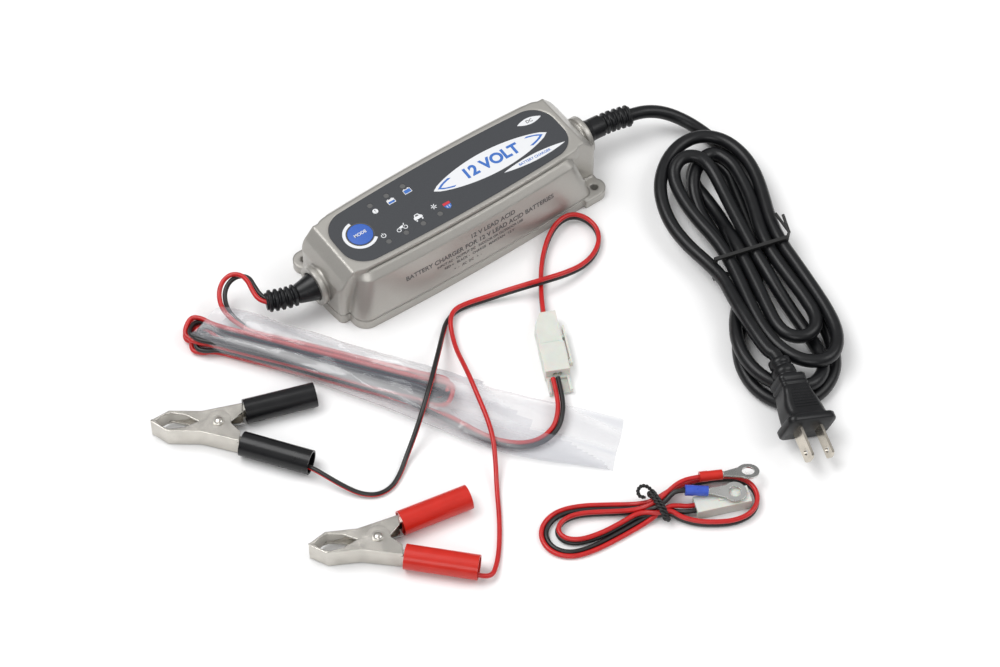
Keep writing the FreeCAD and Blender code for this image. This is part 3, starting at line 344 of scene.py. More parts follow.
# ---- charger's twin lead: an arch, nine runs in the bag, to the connector ----
RED_ARCH = [(-108.8, 2.9, 17.6), (-111.7, 4.1, 17.9), (-114.9, 8.8, 18.3), (-114.4, 15.2, 18.8),
            (-113.0, 21.2, 19.0), (-113.4, 27.0, 18.6), (-117.0, 31.4, 17.4),
            (-122.6, 31.2, 15.8), (-127.6, 27.4, 13.4), (-130.4, 21.0, 10.6),
            (-129.8, 14.0, 8.4), (-127.8, 7.2, 7.6), (-125.4, 0.8, 7.4)]
BLACK_ARCH = [(-109.3, 5.6, 17.4), (-110.8, 6.5, 17.3), (-112.0, 12.0, 16.8), (-111.4, 18.0, 17.2),
              (-110.4, 24.4, 16.8), (-113.4, 29.2, 15.6), (-119.2, 30.0, 14.2),
              (-124.8, 26.6, 12.0), (-127.6, 20.4, 8.6), (-127.2, 14.0, 6.0),
              (-125.2, 6.8, 4.8), (-122.9, -0.6, 4.8)]
DC_OUT = [(-73.0, -99.4, 3.2), (-69.6, -107.4, 3.0), (-66.4, -115.8, 2.9), (-62.4, -124.2, 2.9),
          (-56.6, -131.6, 2.9), (-49.4, -137.2, 2.9), (-40.8, -139.6, 3.4), (-31.8, -138.0, 4.6),
          (-24.8, -132.0, 5.6), (-19.6, -124.4, 5.8), (-14.6, -113.6, 5.8)]
UPPER, LOWER = 10.1, 4.9
RUNS = [(6.5, UPPER), (-3.9, UPPER), (3.9, UPPER), (-6.5, UPPER), (3.9, LOWER), (-3.9, LOWER),
        (6.5, LOWER), (-1.3, UPPER), (-6.5, LOWER)]
FAR_FOLDS = [128, 131, 126, 130]     # where each pair of runs turns back
NEAR_FOLDS = [-13, -10.5, -14, -8.5]
FOLD_R = 6.2


def fold_round(end, way, start, finish):
    """Control points of a rounded turn at a station, from one run to the next: (t, z) each."""
    middle = (start[0] + finish[0]) / 2
    side = 1 if start[0] > finish[0] else -1
    half = max(abs(start[0] - finish[0]) / 2, FOLD_R)
    return [(end - way * 13, start[0], start[1]), (end - way * 6, middle + side * half, start[1]),
            (end, middle + side * half * 0.8, start[1]), (end, middle - side * half * 0.8, finish[1]),
            (end - way * 6, middle - side * half, finish[1]), (end - way * 13, finish[0], finish[1])]


def folded_runs(red):
    """One wire's runs in the bag's frame, in order, joined by turns at alternate ends.

    The pair lies flat against itself: red over black on one side of the bag, under it on the other.
    """
    chance = random.Random(7)
    wander = 0.3
    lanes = [(t, z - (0.0 if red == (t > 0) else TWIN)) for t, z in RUNS]
    shorter = 0.0 if red else TWIN
    points = []
    for i, (t, z) in enumerate(lanes):
        way = -1 if i % 2 else 1
        stations = [s for s in (20, 48, 76, 102) if i or s > 20]
        points += [(s, t + chance.uniform(-wander, wander), z) for s in stations[::way]]
        if i < len(lanes) - 1:
            end = NEAR_FOLDS[i // 2] + shorter if i % 2 else FAR_FOLDS[i // 2] - shorter
            points += fold_round(end, way, (t, z), lanes[i + 1])
    return points


def bag_world(points):
    return from_local(points, BAG_AT, BAG_HEADING)


dc_red = cord_curve("charger_lead_red",
                    RED_ARCH + bag_world(folded_runs(True)) + beside(DC_OUT, 1.3), WIRE_D,
                    LOOKS["wire_red"])
dc_black = cord_curve("charger_lead_black",
                      BLACK_ARCH + bag_world(folded_runs(False)) + beside(DC_OUT, -1.3), WIRE_D,
                      LOOKS["wire_black"])
settle(dc_red, None, replaced=("dc_lead_red", "dc_hank"))
settle(dc_black, None, replaced=("dc_lead_black",))

# ---- clamp lead --------------------------------------------------------------
CLAMP_RUN = [(2.2, -81.5, 3.5), (7.2, -72.6, 2.6), (13.0, -63.6, 1.5), (20.4, -53.2, 1.4),
             (29.0, -43.8, 1.9), (38.0, -36.8, 3.4), (46.6, -33.2, 4.6), (54.8, -33.2, 4.2),
             (60.4, -38.0, 2.6), (62.0, -46.0, 1.5), (58.4, -54.0, 1.4), (50.4, -60.2, 1.6),
             (40.4, -63.2, 2.6), (29.6, -63.6, 5.0), (18.8, -62.2, 6.9), (8.4, -59.0, 6.6),
             (-2.0, -54.6, 4.4), (-12.4, -50.6, 2.2), (-22.8, -47.4, 1.5), (-30.6, -46.8, 1.5)]
BLACK_BRANCH = CLAMP_RUN + [
    (-38.4, -50.0, 2.0), (-46.2, -58.0, 5.8), (-54.0, -66.8, 11.6), (-63.0, -76.0, 15.0),
    (-73.0, -85.6, 15.8), (-83.4, -94.4, 14.2), (-93.6, -101.4, 8.0), (-103.0, -107.2, 3.0),
    (-111.0, -113.2, 1.6), (-119.0, -117.4, 1.5), (-127.2, -117.0, 1.6), (-133.8, -112.0, 2.2),
    (-138.4, -104.6, 3.6), (-142.4, -96.2, 5.2), (-146.0, -87.4, 6.2), (-150.4, -79.2, 6.4)]
RED_BRANCH = shifted(CLAMP_RUN, 0, 0, TWIN) + [
    (-36.2, -50.8, 4.5), (-40.6, -58.6, 3.6), (-44.8, -68.6, 4.4), (-48.8, -80.0, 9.4),
    (-52.6, -91.8, 13.0), (-56.0, -103.6, 12.6), (-59.2, -115.6, 11.2), (-63.6, -127.4, 10.2),
    (-70.0, -138.4, 5.4), (-77.0, -149.0, 2.0), (-83.6, -160.0, 1.5), (-90.6, -170.4, 1.5),
    (-97.6, -179.4, 1.6), (-103.6, -185.6, 2.4), (-108.8, -189.6, 3.6), (-113.6, -188.2, 5.2),
    (-117.4, -183.2, 6.0), (-120.2, -179.2, 6.3)]
clamp_black = cord_curve("clamp_lead_black_run", BLACK_BRANCH, WIRE_D, LOOKS["wire_black"])
clamp_red = cord_curve("clamp_lead_red_run", RED_BRANCH, WIRE_D, LOOKS["wire_red"])
settle(clamp_black, None, replaced=("clamp_lead_black",))
settle(clamp_red, None, replaced=("clamp_lead_red",))

# ---- eyelet lead: two loops left of the tie, one right of it, the terminals --
OUTER_LEFT = [(-27, -207.2), (-44, -206.6), (-60, -205.2), (-70.6, -201.4), (-76.0, -193.6),
              (-75.0, -185.0), (-69.2, -179.6), (-60.4, -178.2), (-50.0, -182.0), (-38.4, -189.6),
              (-27.4, -197.4)]
INNER_LEFT = [(-28, -202.6), (-40, -202.4), (-52, -201.4), (-62.4, -198.4), (-68.0, -193.0),
              (-67.6, -186.9), (-61.8, -184.0), (-54.0, -185.4), (-45.6, -190.2), (-36.4, -196.4),
              (-28.4, -201.0)]
RIGHT_LOOP = [(-15.6, -211.0, 2.7), (-13.4, -217.0, 1.6), (-8.0, -224.0, 1.4), (-0.6, -229.8, 1.4),
              (8.0, -234.6, 1.4), (17.6, -235.6, 1.4), (25.2, -230.6, 1.4), (27.8, -221.8, 1.4),
              (23.6, -213.6, 1.4), (14.8, -207.8, 1.4), (4.8, -203.8, 1.4), (-4.8, -201.6, 1.8),
              (-10.4, -201.6, 2.3), (-15.6, -202.0, 2.7)]
RED_TAIL = [(-15.8, -204.0, 7.2), (-10.2, -203.0, 7.9), (-3.8, -202.6, 9.0), (2.8, -204.2, 9.2),
            (10.0, -207.7, 8.8)]
BLACK_TAIL = [(-15.8, -206.8, 7.2), (-11.9, -206.0, 8.3), (-7.95, -206.27, 10.34),
              (-1.53, -210.88, 9.87)]
SPARE_RED = [(-15.8, -208.6, 5.3), (-10.9, -211.2, 5.1), (-6.38, -214.44, 3.9),
             (0.5, -217.16, 3.9)]
SPARE_BLACK = [(-15.8, -208.6, 2.7), (-11.9, -213.4, 2.7), (-7.2, -217.35, 3.9),
               (-0.6, -219.96, 3.9)]


def at_height(points, z):
    return [(x, y, z) for x, y in points]


red_eyelet_points = (SPARE_RED[::-1] + beside(at_height(OUTER_LEFT, 1.5), 1.3)
                     + [(-21, -201.6, 5.3)] + shifted(RIGHT_LOOP[::-1], 0, 0, TWIN)
                     + [(-21.6, -209.6, 5.6)]
                     + at_height(INNER_LEFT, 4.2)
                     + [(-21.6, -203.6, 6.2)] + RED_TAIL)
black_eyelet_points = (SPARE_BLACK[::-1]
                       + beside(at_height(OUTER_LEFT, 1.5), -1.3)
                       + [(-21, -201.8, 2.7)] + RIGHT_LOOP[::-1] + [(-21.6, -209.6, 3.0)]
                       + beside(at_height(INNER_LEFT, 1.5), 0.5)
                       + [(-21.6, -206.4, 6.2)] + BLACK_TAIL)
eyelet_red = cord_curve("eyelet_lead_red_run", red_eyelet_points, WIRE_D, LOOKS["wire_red"])
eyelet_black = cord_curve("eyelet_lead_black_run", black_eyelet_points, WIRE_D, LOOKS["wire_black"])
settle(eyelet_red, None, replaced=("eyelet_lead_red", "eyelet_hank"))
settle(eyelet_black, None, replaced=("eyelet_lead_black",))


# ---- soft edges on the moulded and pressed pieces ----------------------------
SOFT_EDGE_ANGLE = math.radians(32)
for cad_name, bevel in (("top_cover", 0.9), ("base_plate", 0.5), ("mode_button", 0.25),
                        ("red_clamp_upper_jaw", 0.2), ("red_clamp_lower_jaw", 0.2),
                        ("black_clamp_upper_jaw", 0.2), ("black_clamp_lower_jaw", 0.2),
                        ("red_ring_terminal", 0.15), ("blue_ring_terminal", 0.15),
                        ("plug_blades", 0.2)):
    softened = frame["nodes"][cad_name]
    for face in softened.data.polygons:
        face.use_smooth = True
    round_over = softened.modifiers.new("soft_edges", "BEVEL")
    round_over.width = bevel * MM
    round_over.segments = 3
    round_over.limit_method = "ANGLE"
    round_over.angle_limit = SOFT_EDGE_ANGLE
    round_over.harden_normals = True


# ---- printed label -----------------------------------------------------------
FIRST_INK = (TOP_Z + 0.01, TOP_Z + 0.05)     # lower and upper face of the print on the label
SECOND_INK = (TOP_Z + 0.05, TOP_Z + 0.08)    # and of what is printed over it
HALF_WALL = 0.00002                          # the half thickness of the raised letters, in metres


def print_on_label(name, outlines, finish, heights=FIRST_INK):
    """Flat printed shapes on the label: closed prisms of the given outlines, in millimetres."""
    verts, faces = [], []
    for outline in outlines:
        low, count = len(verts), len(outline)
        top = low + count
        verts += [(x * MM, y * MM, z * MM) for z in heights for x, y in outline]
        faces += [tuple(range(low, top))[::-1], tuple(range(top, top + count))]
        for i in range(count):
            k = (i + 1) % count
            faces.append((low + i, low + k, top + k, top + i))
    return settle(mesh_piece(name, verts, faces, False), finish)


def arc_points(cx, cy, radius, start, end, steps=40):
    return [(cx + radius * math.cos(math.radians(start + (end - start) * i / steps)),
             cy + radius * math.sin(math.radians(start + (end - start) * i / steps)))
            for i in range(steps + 1)]


def disc(cx, cy, radius):
    return arc_points(cx, cy, radius, 0, 350, 35)


def band(cx, cy, outer, inner, start, end):
    return (arc_points(cx, cy, outer, start, end)
            + arc_points(cx, cy, inner, end, start))


def box(x0, y0, x1, y1):
    return [(x0, y0), (x1, y0), (x1, y1), (x0, y1)]


def bar(x0, y0, x1, y1, width):
    """A straight stroke between two points."""
    run = Vector((x1 - x0, y1 - y0)).normalized() * width / 2
    return [(x0 - run.y, y0 + run.x), (x0 + run.y, y0 - run.x),
            (x1 + run.y, y1 - run.x), (x1 - run.y, y1 + run.x)]


def lens(x0, y0, x1, y1, width, blunt=0.85):
    """A pointed oval from one point to another."""
    steps = 24
    along_it = Vector((x1 - x0, y1 - y0))
    across = Vector((-along_it.y, along_it.x)).normalized() * width / 2
    sides = []
    for sign in (1, -1):
        side = []
        for i in range(steps):
            t = i / steps
            bulge = math.sin(math.pi * t) ** blunt
            at = Vector((x0, y0)) + along_it * t + across * bulge * sign
            side.append((at.x, at.y))
        sides.append(side)
    return sides[0] + [(x1, y1)] + sides[1][:0:-1]


def lettering(name, words, size, place, finish, body=BODY, lay_on=None, weight=0.018):
    """Raised generic lettering; place maps its plane onto the object, in metres."""
    text = bpy.data.curves.new(name, "FONT")
    text.body = words
    text.size = size * MM
    text.offset = weight * size * MM
    text.extrude = HALF_WALL
    text.align_x = "CENTER"
    text.align_y = "CENTER"
    holder = scene_object(name + "_text", text)
    bpy.context.view_layer.update()
    seen = holder.evaluated_get(bpy.context.evaluated_depsgraph_get())
    mesh = bpy.data.meshes.new_from_object(seen)
    bpy.data.objects.remove(holder)
    mesh.transform(place)
    if lay_on is not None:
        for vertex in mesh.vertices:
            vertex.co = lay_on(vertex.co)
    return settle(scene_object(name, mesh), finish, body)


def on_label(x, y, turn=0.0, z=SECOND_INK[1]):
    return Matrix.Translation(Vector((x, y, z)) * MM) @ Matrix.Rotation(math.radians(turn), 4, "Z")


BUTTON_AT, BUTTON_TOP = (-56.4, 0.0), 38.52
print_on_label("mode_ring", [band(*BUTTON_AT, 9.3, 7.6, 95, 315)], INK_WHITE)
print_on_label("button_rim", [band(*BUTTON_AT, 7.35, 6.95, 0, 359.5)], INK_GREY)
lettering("mode_word", "MODE", 2.6, on_label(*BUTTON_AT, 0, BUTTON_TOP), INK_WHITE,
          "button")

battery_icons = []
for cx, cy in ((-31.1, 8.5), (-20.4, 9.2)):
    battery_icons += [box(cx - 2.2, cy - 1.5, cx + 2.2, cy - 1.15),
                      box(cx - 2.2, cy + 1.15, cx + 2.2, cy + 1.5),
                      bar(cx - 2.05, cy - 1.15, cx - 2.05, cy + 1.15, 0.3),
                      bar(cx + 2.05, cy - 1.15, cx + 2.05, cy + 1.15, 0.3),
                      bar(cx - 1.6, cy + 1.7, cx - 0.7, cy + 1.7, 0.45),
                      bar(cx + 0.7, cy + 1.7, cx + 1.6, cy + 1.7, 0.45)]
battery_icons.append(box(-33.0, 8.7, -29.2, 9.7))
print_on_label("battery_outlines", battery_icons, INK_WHITE)
print_on_label("battery_charge", [box(-32.9, 7.4, -29.3, 8.6), box(-22.2, 8.1, -18.6, 10.3)],
               INK_BLUE)
print_on_label("fault_disc", [disc(-41.5, 7.9, 1.55)], INK_WHITE)
print_on_label("fault_mark", [bar(-41.5, 7.7, -41.5, 8.9, 0.4), bar(-41.5, 6.9, -41.5, 7.3, 0.4)],
               INK_GREY, SECOND_INK)

SNOW_X, SNOW_Y, SNOW_R = -15.2, -7.3, 1.7
snow = []
for arm in (0, 60, 120):
    reach_x = SNOW_R * math.cos(math.radians(arm))
    reach_y = SNOW_R * math.sin(math.radians(arm))
    snow.append(bar(SNOW_X - reach_x, SNOW_Y - reach_y, SNOW_X + reach_x, SNOW_Y + reach_y, 0.42))
standby = [band(-47.1, -7.8, 1.4, 1.0, 120, 420), bar(-47.1, -7.6, -47.1, -6.0, 0.4)]
car = [[(-28.3, -9.3), (-23.3, -9.3), (-23.3, -7.9), (-24.1, -7.2), (-24.8, -5.9), (-26.8, -5.9),
        (-27.5, -7.2), (-28.3, -7.9)], bar(-27.9, -10.0, -27.1, -10.0, 0.9),
       bar(-24.5, -10.0, -23.7, -10.0, 0.9)]
bike = [band(-38.6, -9.6, 1.25, 0.85, 0, 359), band(-34.6, -9.6, 1.25, 0.85, 0, 359),
        [(-38.4, -9.2), (-34.9, -9.2), (-34.6, -8.2), (-36.0, -7.7), (-38.2, -8.2)],
        bar(-35.4, -9.0, -34.2, -6.9, 0.5)]
for icon_name, icon in (("cold_mark", snow), ("standby_mark", standby), ("car_mark", car),
                        ("motorcycle_mark", bike)):
    print_on_label(icon_name, icon, INK_WHITE)
print_on_label("car_window", [[(-26.8, -7.4), (-24.8, -7.4), (-25.1, -6.4), (-26.5, -6.4)]],
               INK_GREY, SECOND_INK)
print_on_label("red_mark", [box(-10.9, -8.6, -6.7, -10.2)], INK_RED)
print_on_label("blue_mark", [[(-10.9, -10.4), (-6.7, -10.4), (-7.3, -12.2), (-8.8, -13.2),
                              (-10.3, -12.2)]], INK_BLUE)
print_on_label("mark_rungs", [bar(-8.1, -10.7, -8.1, -12.2, 0.3), bar(-9.5, -10.7, -9.5, -12.2, 0.3)],
               INK_WHITE, SECOND_INK)

oval = lens(-9.5, 0.9, 61.8, -1.3, 15.6, 0.68)
print_on_label("badge", [oval], INK_WHITE)
BADGE_X, BADGE_Y = 26.15, -0.2      # the oval's middle
crescents = []
for sign in (-1, 1):
    rim = [(BADGE_X + (x - BADGE_X) * 0.93, BADGE_Y + (y - BADGE_Y) * 0.86) for x, y in oval
           if sign * (x - BADGE_X) > 24.5]
    rim = sorted(rim, key=lambda p: math.atan2(p[1] - BADGE_Y, sign * (p[0] - BADGE_X)))
    crescents.append(rim + [(BADGE_X + (x - BADGE_X) * 0.955 - sign * 0.4,
                             BADGE_Y + (y - BADGE_Y) * 0.8) for x, y in rim[::-1]])
print_on_label("badge_arcs", crescents, INK_BLUE, SECOND_INK)
lettering("badge_word", "12 VOLT", 9.2, on_label(26.4, -0.2, -1.8), INK_BLUE,
          weight=0.04)
print_on_label("small_lens", [lens(51.6, 11.2, 66.0, 9.6, 4.4)], INK_WHITE)
lettering("small_word", "DC", 2.7, on_label(58.8, 10.3, -4), INK_GREY)
print_on_label("long_lens", [lens(27.6, -10.4, 66.0, -12.0, 4.4)], INK_WHITE)
lettering("long_word", "BATTERY CHARGER", 2.2, on_label(46.8, -11.3, -2.4), INK_BLUE)


# ---- faint generic print on the front side -----------------------------------
PLANE_Y = -0.06         # the plane that the words are first set in, in front of the wall, in metres
WALL_Y = -0.03          # where the wall is taken to be if a ray misses it
PRINT_LIFT = 0.00006


def onto_side(point):
    """Move a point of the print's plane back onto the front wall, along +Y."""
    hit, where, _, _ = frame["nodes"]["top_cover"].ray_cast(
        Vector((point.x, PLANE_Y, point.z)), Vector((0, 1, 0)))
    depth = where.y if hit else WALL_Y
    return Vector((point.x, depth - PRINT_LIFT + (point.y - PLANE_Y), point.z))


def on_side(x, z):
    return (Matrix.Translation(Vector((x * MM, PLANE_Y, z * MM)))
            @ Matrix.Rotation(math.radians(90), 4, "X"))


bpy.context.view_layer.update()
for print_name, words, size, x, z in (
        ("side_title", "12 V LEAD ACID", 4.0, 8.0, 26.8),
        ("side_line", "BATTERY CHARGER FOR 12 V LEAD ACID BATTERIES", 4.0, 0.0, 21.9),
        ("side_small_1", "INPUT AC   OUTPUT DC   INDOOR OR OUTDOOR USE", 2.2, -1.0, 18.2),
        ("side_small_2", "RED +   BLACK -   CHARGE   MAINTAIN   12 V", 2.2, -2.0, 15.2),
        ("side_small_3", "+  -   AC  DC   +  -", 2.2, -10.0, 11.6)):
    lettering(print_name, words, size, on_side(x, z), INK_GREY, lay_on=onto_side)


# ---- strain reliefs ----------------------------------------------------------
def smooth_path(points, steps):
    """Evenly spaced points, in metres, on a smooth curve through the given ones."""
    pts = [Vector(p) * MM for p in points]
    pts = [pts[0] * 2 - pts[1]] + pts + [pts[-1] * 2 - pts[-2]]
    fine = []
    for i in range(1, len(pts) - 2):
        p0, p1, p2, p3 = pts[i - 1:i + 3]
        for k in range(40):
            t = k / 40
            fine.append(0.5 * (2 * p1 + (p2 - p0) * t + (2 * p0 - 5 * p1 + 4 * p2 - p3) * t * t
                               + (3 * p1 - p0 - 3 * p2 + p3) * t ** 3))
    fine.append(pts[-2])
    reach = [0.0]
    for a, b in zip(fine, fine[1:]):
        reach.append(reach[-1] + (b - a).length)
    even, j = [], 0
    for i in range(steps + 1):
        want = reach[-1] * i / steps
        while j < len(reach) - 2 and reach[j + 1] < want:
            j += 1
        t = (want - reach[j]) / max(reach[j + 1] - reach[j], 1e-9)
        even.append(fine[j].lerp(fine[j + 1], t))
    return even, reach[-1]


def swept(name, points, radius_at):
    """A skin of revolution swept along a curved axis; radius_at(distance, angle) in millimetres."""
    sides, steps = 56, 220
    path, total = smooth_path(points, steps)
    rings = []
    for i, at in enumerate(path):
        ahead = (path[min(i + 1, steps)] - path[max(i - 1, 0)]).normalized()
        side = ahead.cross(Vector((0, 0, 1))).normalized()
        up = side.cross(ahead)
        distance = total / MM * i / steps
        ring = []
        for j in range(sides):
            angle = math.tau * j / sides
            radius = radius_at(distance, angle) * MM
            ring.append(at + side * math.cos(angle) * radius + up * math.sin(angle) * radius)
        rings.append(ring)
    return lofted(name, rings)


def bump_at(x, middle, half, edge=0.45):
    """One inside a band of the given half width, falling softly to nothing at its edges."""
    t = (half + edge - abs(x - middle)) / (2 * edge)
    t = max(0.0, min(1.0, t))
    return t * t * (3 - 2 * t)


NECK_R = 7.7                          # both boots where they leave the housing
RIBS, RIB_PITCH, RIB_HALF = 5, 3.2, 0.95
DC_BOOT = [(-76, 0, 17), (-89, 0, 17), (-101, 1.6, 17.2), (-112.2, 5.6, 17.6)]
MAINS_BOOT = [(76, 0, 17), (91, 0, 17), (104, -1.4, 17.2), (115.5, -4.2, 17.2)]


def ribbed(distance, angle, first, core, height):
    """Ribs on a round core: each but the last is cut through at two opposite sides, by turns."""
    radius = core
    for i in range(RIBS):
        window = 1.0
        if i < RIBS - 1:
            gap = abs(math.cos(angle + (math.pi / 2 if i % 2 else 0)))
            window = 0.35 + 0.65 * min(1.0, (1 - gap) * 6)
        rib = bump_at(distance, first + RIB_PITCH * i, RIB_HALF)
        radius = max(radius, core + height * rib * window)
    return radius


def dc_boot_radius(distance, angle):
    """A plain neck and a cone, then the ribs."""
    neck_end, cone_end = 10.4, 20.5
    if distance < neck_end:
        return NECK_R
    radius = ribbed(distance, angle, 22.1, 4.55, 1.3)
    if distance < cone_end:
        radius = max(radius, 5.0, NECK_R - (distance - neck_end) * 0.26)
    return radius


def mains_boot_radius(distance, angle):
    """A plain neck, a cone and a step, then the ribs."""
    neck_end, cone_end, step_end = 10.5, 15.5, 22.6
    if distance < neck_end:
        return NECK_R
    if distance < cone_end:
        return NECK_R - (distance - neck_end) * 0.32
    return 6.0 if distance < step_end else ribbed(distance, angle, 25.4, 5.0, 1.0)


dc_boot = swept("charger_lead_boot", DC_BOOT, dc_boot_radius)
settle(dc_boot, LOOKS["black_pvc"], replaced=("dc_strain_relief",))
mains_boot = swept("mains_lead_boot", MAINS_BOOT, mains_boot_radius)
settle(mains_boot, LOOKS["black_pvc"], replaced=("mains_strain_relief",))


# ---- mains plug --------------------------------------------------------------
def rounded_box_ring(half_w, half_h, corner):
    """A rounded rectangle as (y, z) points in millimetres."""
    steps = 8
    across, up = half_w - corner, half_h - corner
    ring = []
    for cy, cz, first in ((across, up, 0), (-across, up, 90), (-across, -up, 180), (across, -up, 270)):
        for i in range(steps):
            angle = math.radians(first + 90 * i / (steps - 1))
            ring.append((cy + corner * math.cos(angle), cz + corner * math.sin(angle)))
    return ring


PLUG = lie(PLUG_AT, *PLUG_LIE)


def on_plug(x, y, z):
    """A point of the plug's frame, x towards the blades, in the part's frame in metres."""
    return PLUG @ (Vector((x, y, z)) * MM)


# Cord end to face, each with its half width, half height and corner radius.
PLUG_STATIONS = [
    (0.0, 4.9, 4.9, 4.8), (0.2, 5.7, 5.7, 5.6), (3.2, 5.7, 5.7, 5.6), (3.6, 5.2, 5.2, 5.1),
    (4.0, 4.9, 4.9, 4.8), (5.2, 4.9, 4.9, 4.8), (5.5, 6.2, 6.2, 6.1), (9.0, 6.4, 6.3, 6.1),
    (9.5, 5.6, 5.4, 4.6), (10.8, 5.8, 5.3, 4.2), (11.5, 7.6, 6.8, 2.8), (12.1, 7.9, 7.2, 2.6),
    (14.6, 7.9, 7.1, 2.6), (15.0, 7.5, 6.7, 2.6), (15.5, 7.5, 6.7, 2.6), (15.9, 7.9, 7.1, 2.6),
    (17.3, 7.9, 7.0, 2.6), (17.7, 7.5, 6.6, 2.6), (18.2, 7.5, 6.6, 2.6), (18.6, 7.9, 7.0, 2.6),
    (21.0, 8.2, 6.9, 2.8), (24.0, 9.2, 6.9, 3.4), (27.0, 10.3, 7.0, 4.0), (30.0, 10.9, 7.2, 4.4),
    (33.0, 11.0, 7.6, 4.2), (35.6, 10.9, 8.0, 3.8),
    (36.6, 11.3, 8.4, 3.6), (36.9, 13.4, 9.2, 4.0), (37.4, 13.9, 9.6, 4.2), (40.4, 13.9, 9.6, 4.2),
    (41.0, 13.4, 9.1, 4.0)]
plug_body = lofted("plug_moulding", [[on_plug(x, y, z) for y, z in rounded_box_ring(*outline)]
                                     for x, *outline in PLUG_STATIONS])
RIDGE_FACES = [(0, 1, 3, 2), (2, 3, 5, 4), (4, 5, 7, 6), (0, 2, 4, 6), (1, 7, 5, 3), (0, 6, 7, 1)]
GRIP_ROWS, GRIP_START, GRIP_PITCH = 7, 21.4, 1.7
for side_name, grip_side in (("upper", 1), ("lower", -1)):
    for row in range(GRIP_ROWS):
        x = GRIP_START + row * GRIP_PITCH
        half_w = 5.2 + row * 0.28
        ridge_points = []
        for px, lift in ((x - 0.5, 0.0), (x - 0.25, 0.3), (x + 0.25, 0.3), (x + 0.5, 0.0)):
            z = grip_side * (6.85 + max(0.0, px - 26) * 0.085 + lift)
            ridge_points += [on_plug(px, y, z) for y in (-half_w, half_w)]
        ridge = mesh_piece(f"plug_grip_{row}_{side_name}", ridge_points, RIDGE_FACES, False)
        settle(ridge, LOOKS["black_pvc"])
settle(plug_body, LOOKS["black_pvc"], replaced=("plug_body",))


# ---- film bag round the folded lead ------------------------------------------
# Along the bag, the middle's offset across it, the width and the height.
BAG_SECTIONS = [(-10, 4.6, 22.5, 13.8), (6, 4.2, 24.6, 14.4), (28, 3.6, 24.6, 14.4),
                (66, 0.4, 24.2, 14.2), (112, -2.4, 29.6, 13.8), (128, -3.4, 32, 12.6),
                (142, -4.6, 34.6, 10.2), (166, -5, 36, 8.4), (190, -3.4, 35, 6.6), (219, 0.4, 32, 3.6)]
BAG_END = 219
# Each fold from one place to another, as (along, across), and its height.
FOLD_LINES = [((138, 13), (214, -9), 1.5), ((146, -16), (188, 11), 1.3),
              ((172, -19), (216, 4), 1.2), ((20, 8), (120, -5), 1.1), ((70, 9), (150, 2), 0.9)]
FOLD_HALF_WIDTH = 3.2
# Where the top layer stops: across and along.
TOP_EDGE = [(-30.0, 236.0), (-13.5, 216.0), (-3.5, 177.0), (8.0, 146.0), (30.0, 139.0)]


def between(rows, x):
    """The row at x, straight between the given rows, whose first number is x."""
    for low, high in zip(rows, rows[1:]):
        if x <= high[0]:
            f = max(0.0, (x - low[0]) / (high[0] - low[0]))
            return [a + (b - a) * f for a, b in zip(low, high)]
    return list(rows[-1])


def film_bag():
    """One open layer of film: the underside, round the far edge and back over the top."""
    along_count, around_count = 150, 72
    verts, faces, alive = [], [], []
    for i in range(along_count + 1):
        for j in range(around_count + 1):
            angle = math.radians(-168 + 356 * j / around_count)
            over = math.sin(angle) > 0
            side = math.cos(angle)
            start = -9.5 + 6.5 * (side + 1)
            s = start + (BAG_END - 1.8 * side - start) * i / along_count
            _, middle, width, height = between(BAG_SECTIONS, s)
            t = middle + width / 2 * math.copysign(abs(side) ** 0.55, side)
            z = height / 2 * (1 + math.copysign(abs(math.sin(angle)) ** 0.62, math.sin(angle)))
            crease = noise.noise(Vector((s * 0.022 + t * 0.016, t * 0.17 - s * 0.02, 3.1)))
            crinkle = noise.noise(Vector((s * 0.03, t * 0.24 + s * 0.04, 7.7)))
            pinch = 1 - abs(noise.noise(Vector((s * 0.02, t * 0.11 + s * 0.035, 1.3)))) * 2
            if over:
                flat_end = min(1.0, max(0.25, (200 - s) / 60))
                lift = crease * 1.7 + crinkle * 0.6 + max(0.0, pinch - 0.55) * 1.6
                for (s0, t0), (s1, t1), height_mm in FOLD_LINES:
                    lean = math.hypot(s1 - s0, t1 - t0)
                    off = abs((s - s0) * (t1 - t0) - (t - t0) * (s1 - s0)) / lean
                    if s0 - 4 < s < s1 + 4:
                        lift += height_mm * max(0.0, 1 - off / FOLD_HALF_WIDTH)
                z += max(-0.7, lift) * flat_end
            else:
                z += max(0.0, crinkle) * 0.5
            t += noise.noise(Vector((s * 0.03, 0.3 if side > 0 else 5.3, 2.2))) * 1.3 * abs(side)
            verts.append(Vector((s, t, max(0.25, z))))
            alive.append(not over or s < between(TOP_EDGE, t)[1])
    row = around_count + 1
    for i in range(along_count):
        for j in range(around_count):
            corners = (i * row + j, i * row + j + 1, (i + 1) * row + j + 1, (i + 1) * row + j)
            if all(alive[c] for c in corners):
                faces.append(corners)
    placed = [Vector(p) * MM for p in from_local([tuple(v) for v in verts], BAG_AT, BAG_HEADING)]
    return mesh_piece("film_bag", placed, faces)


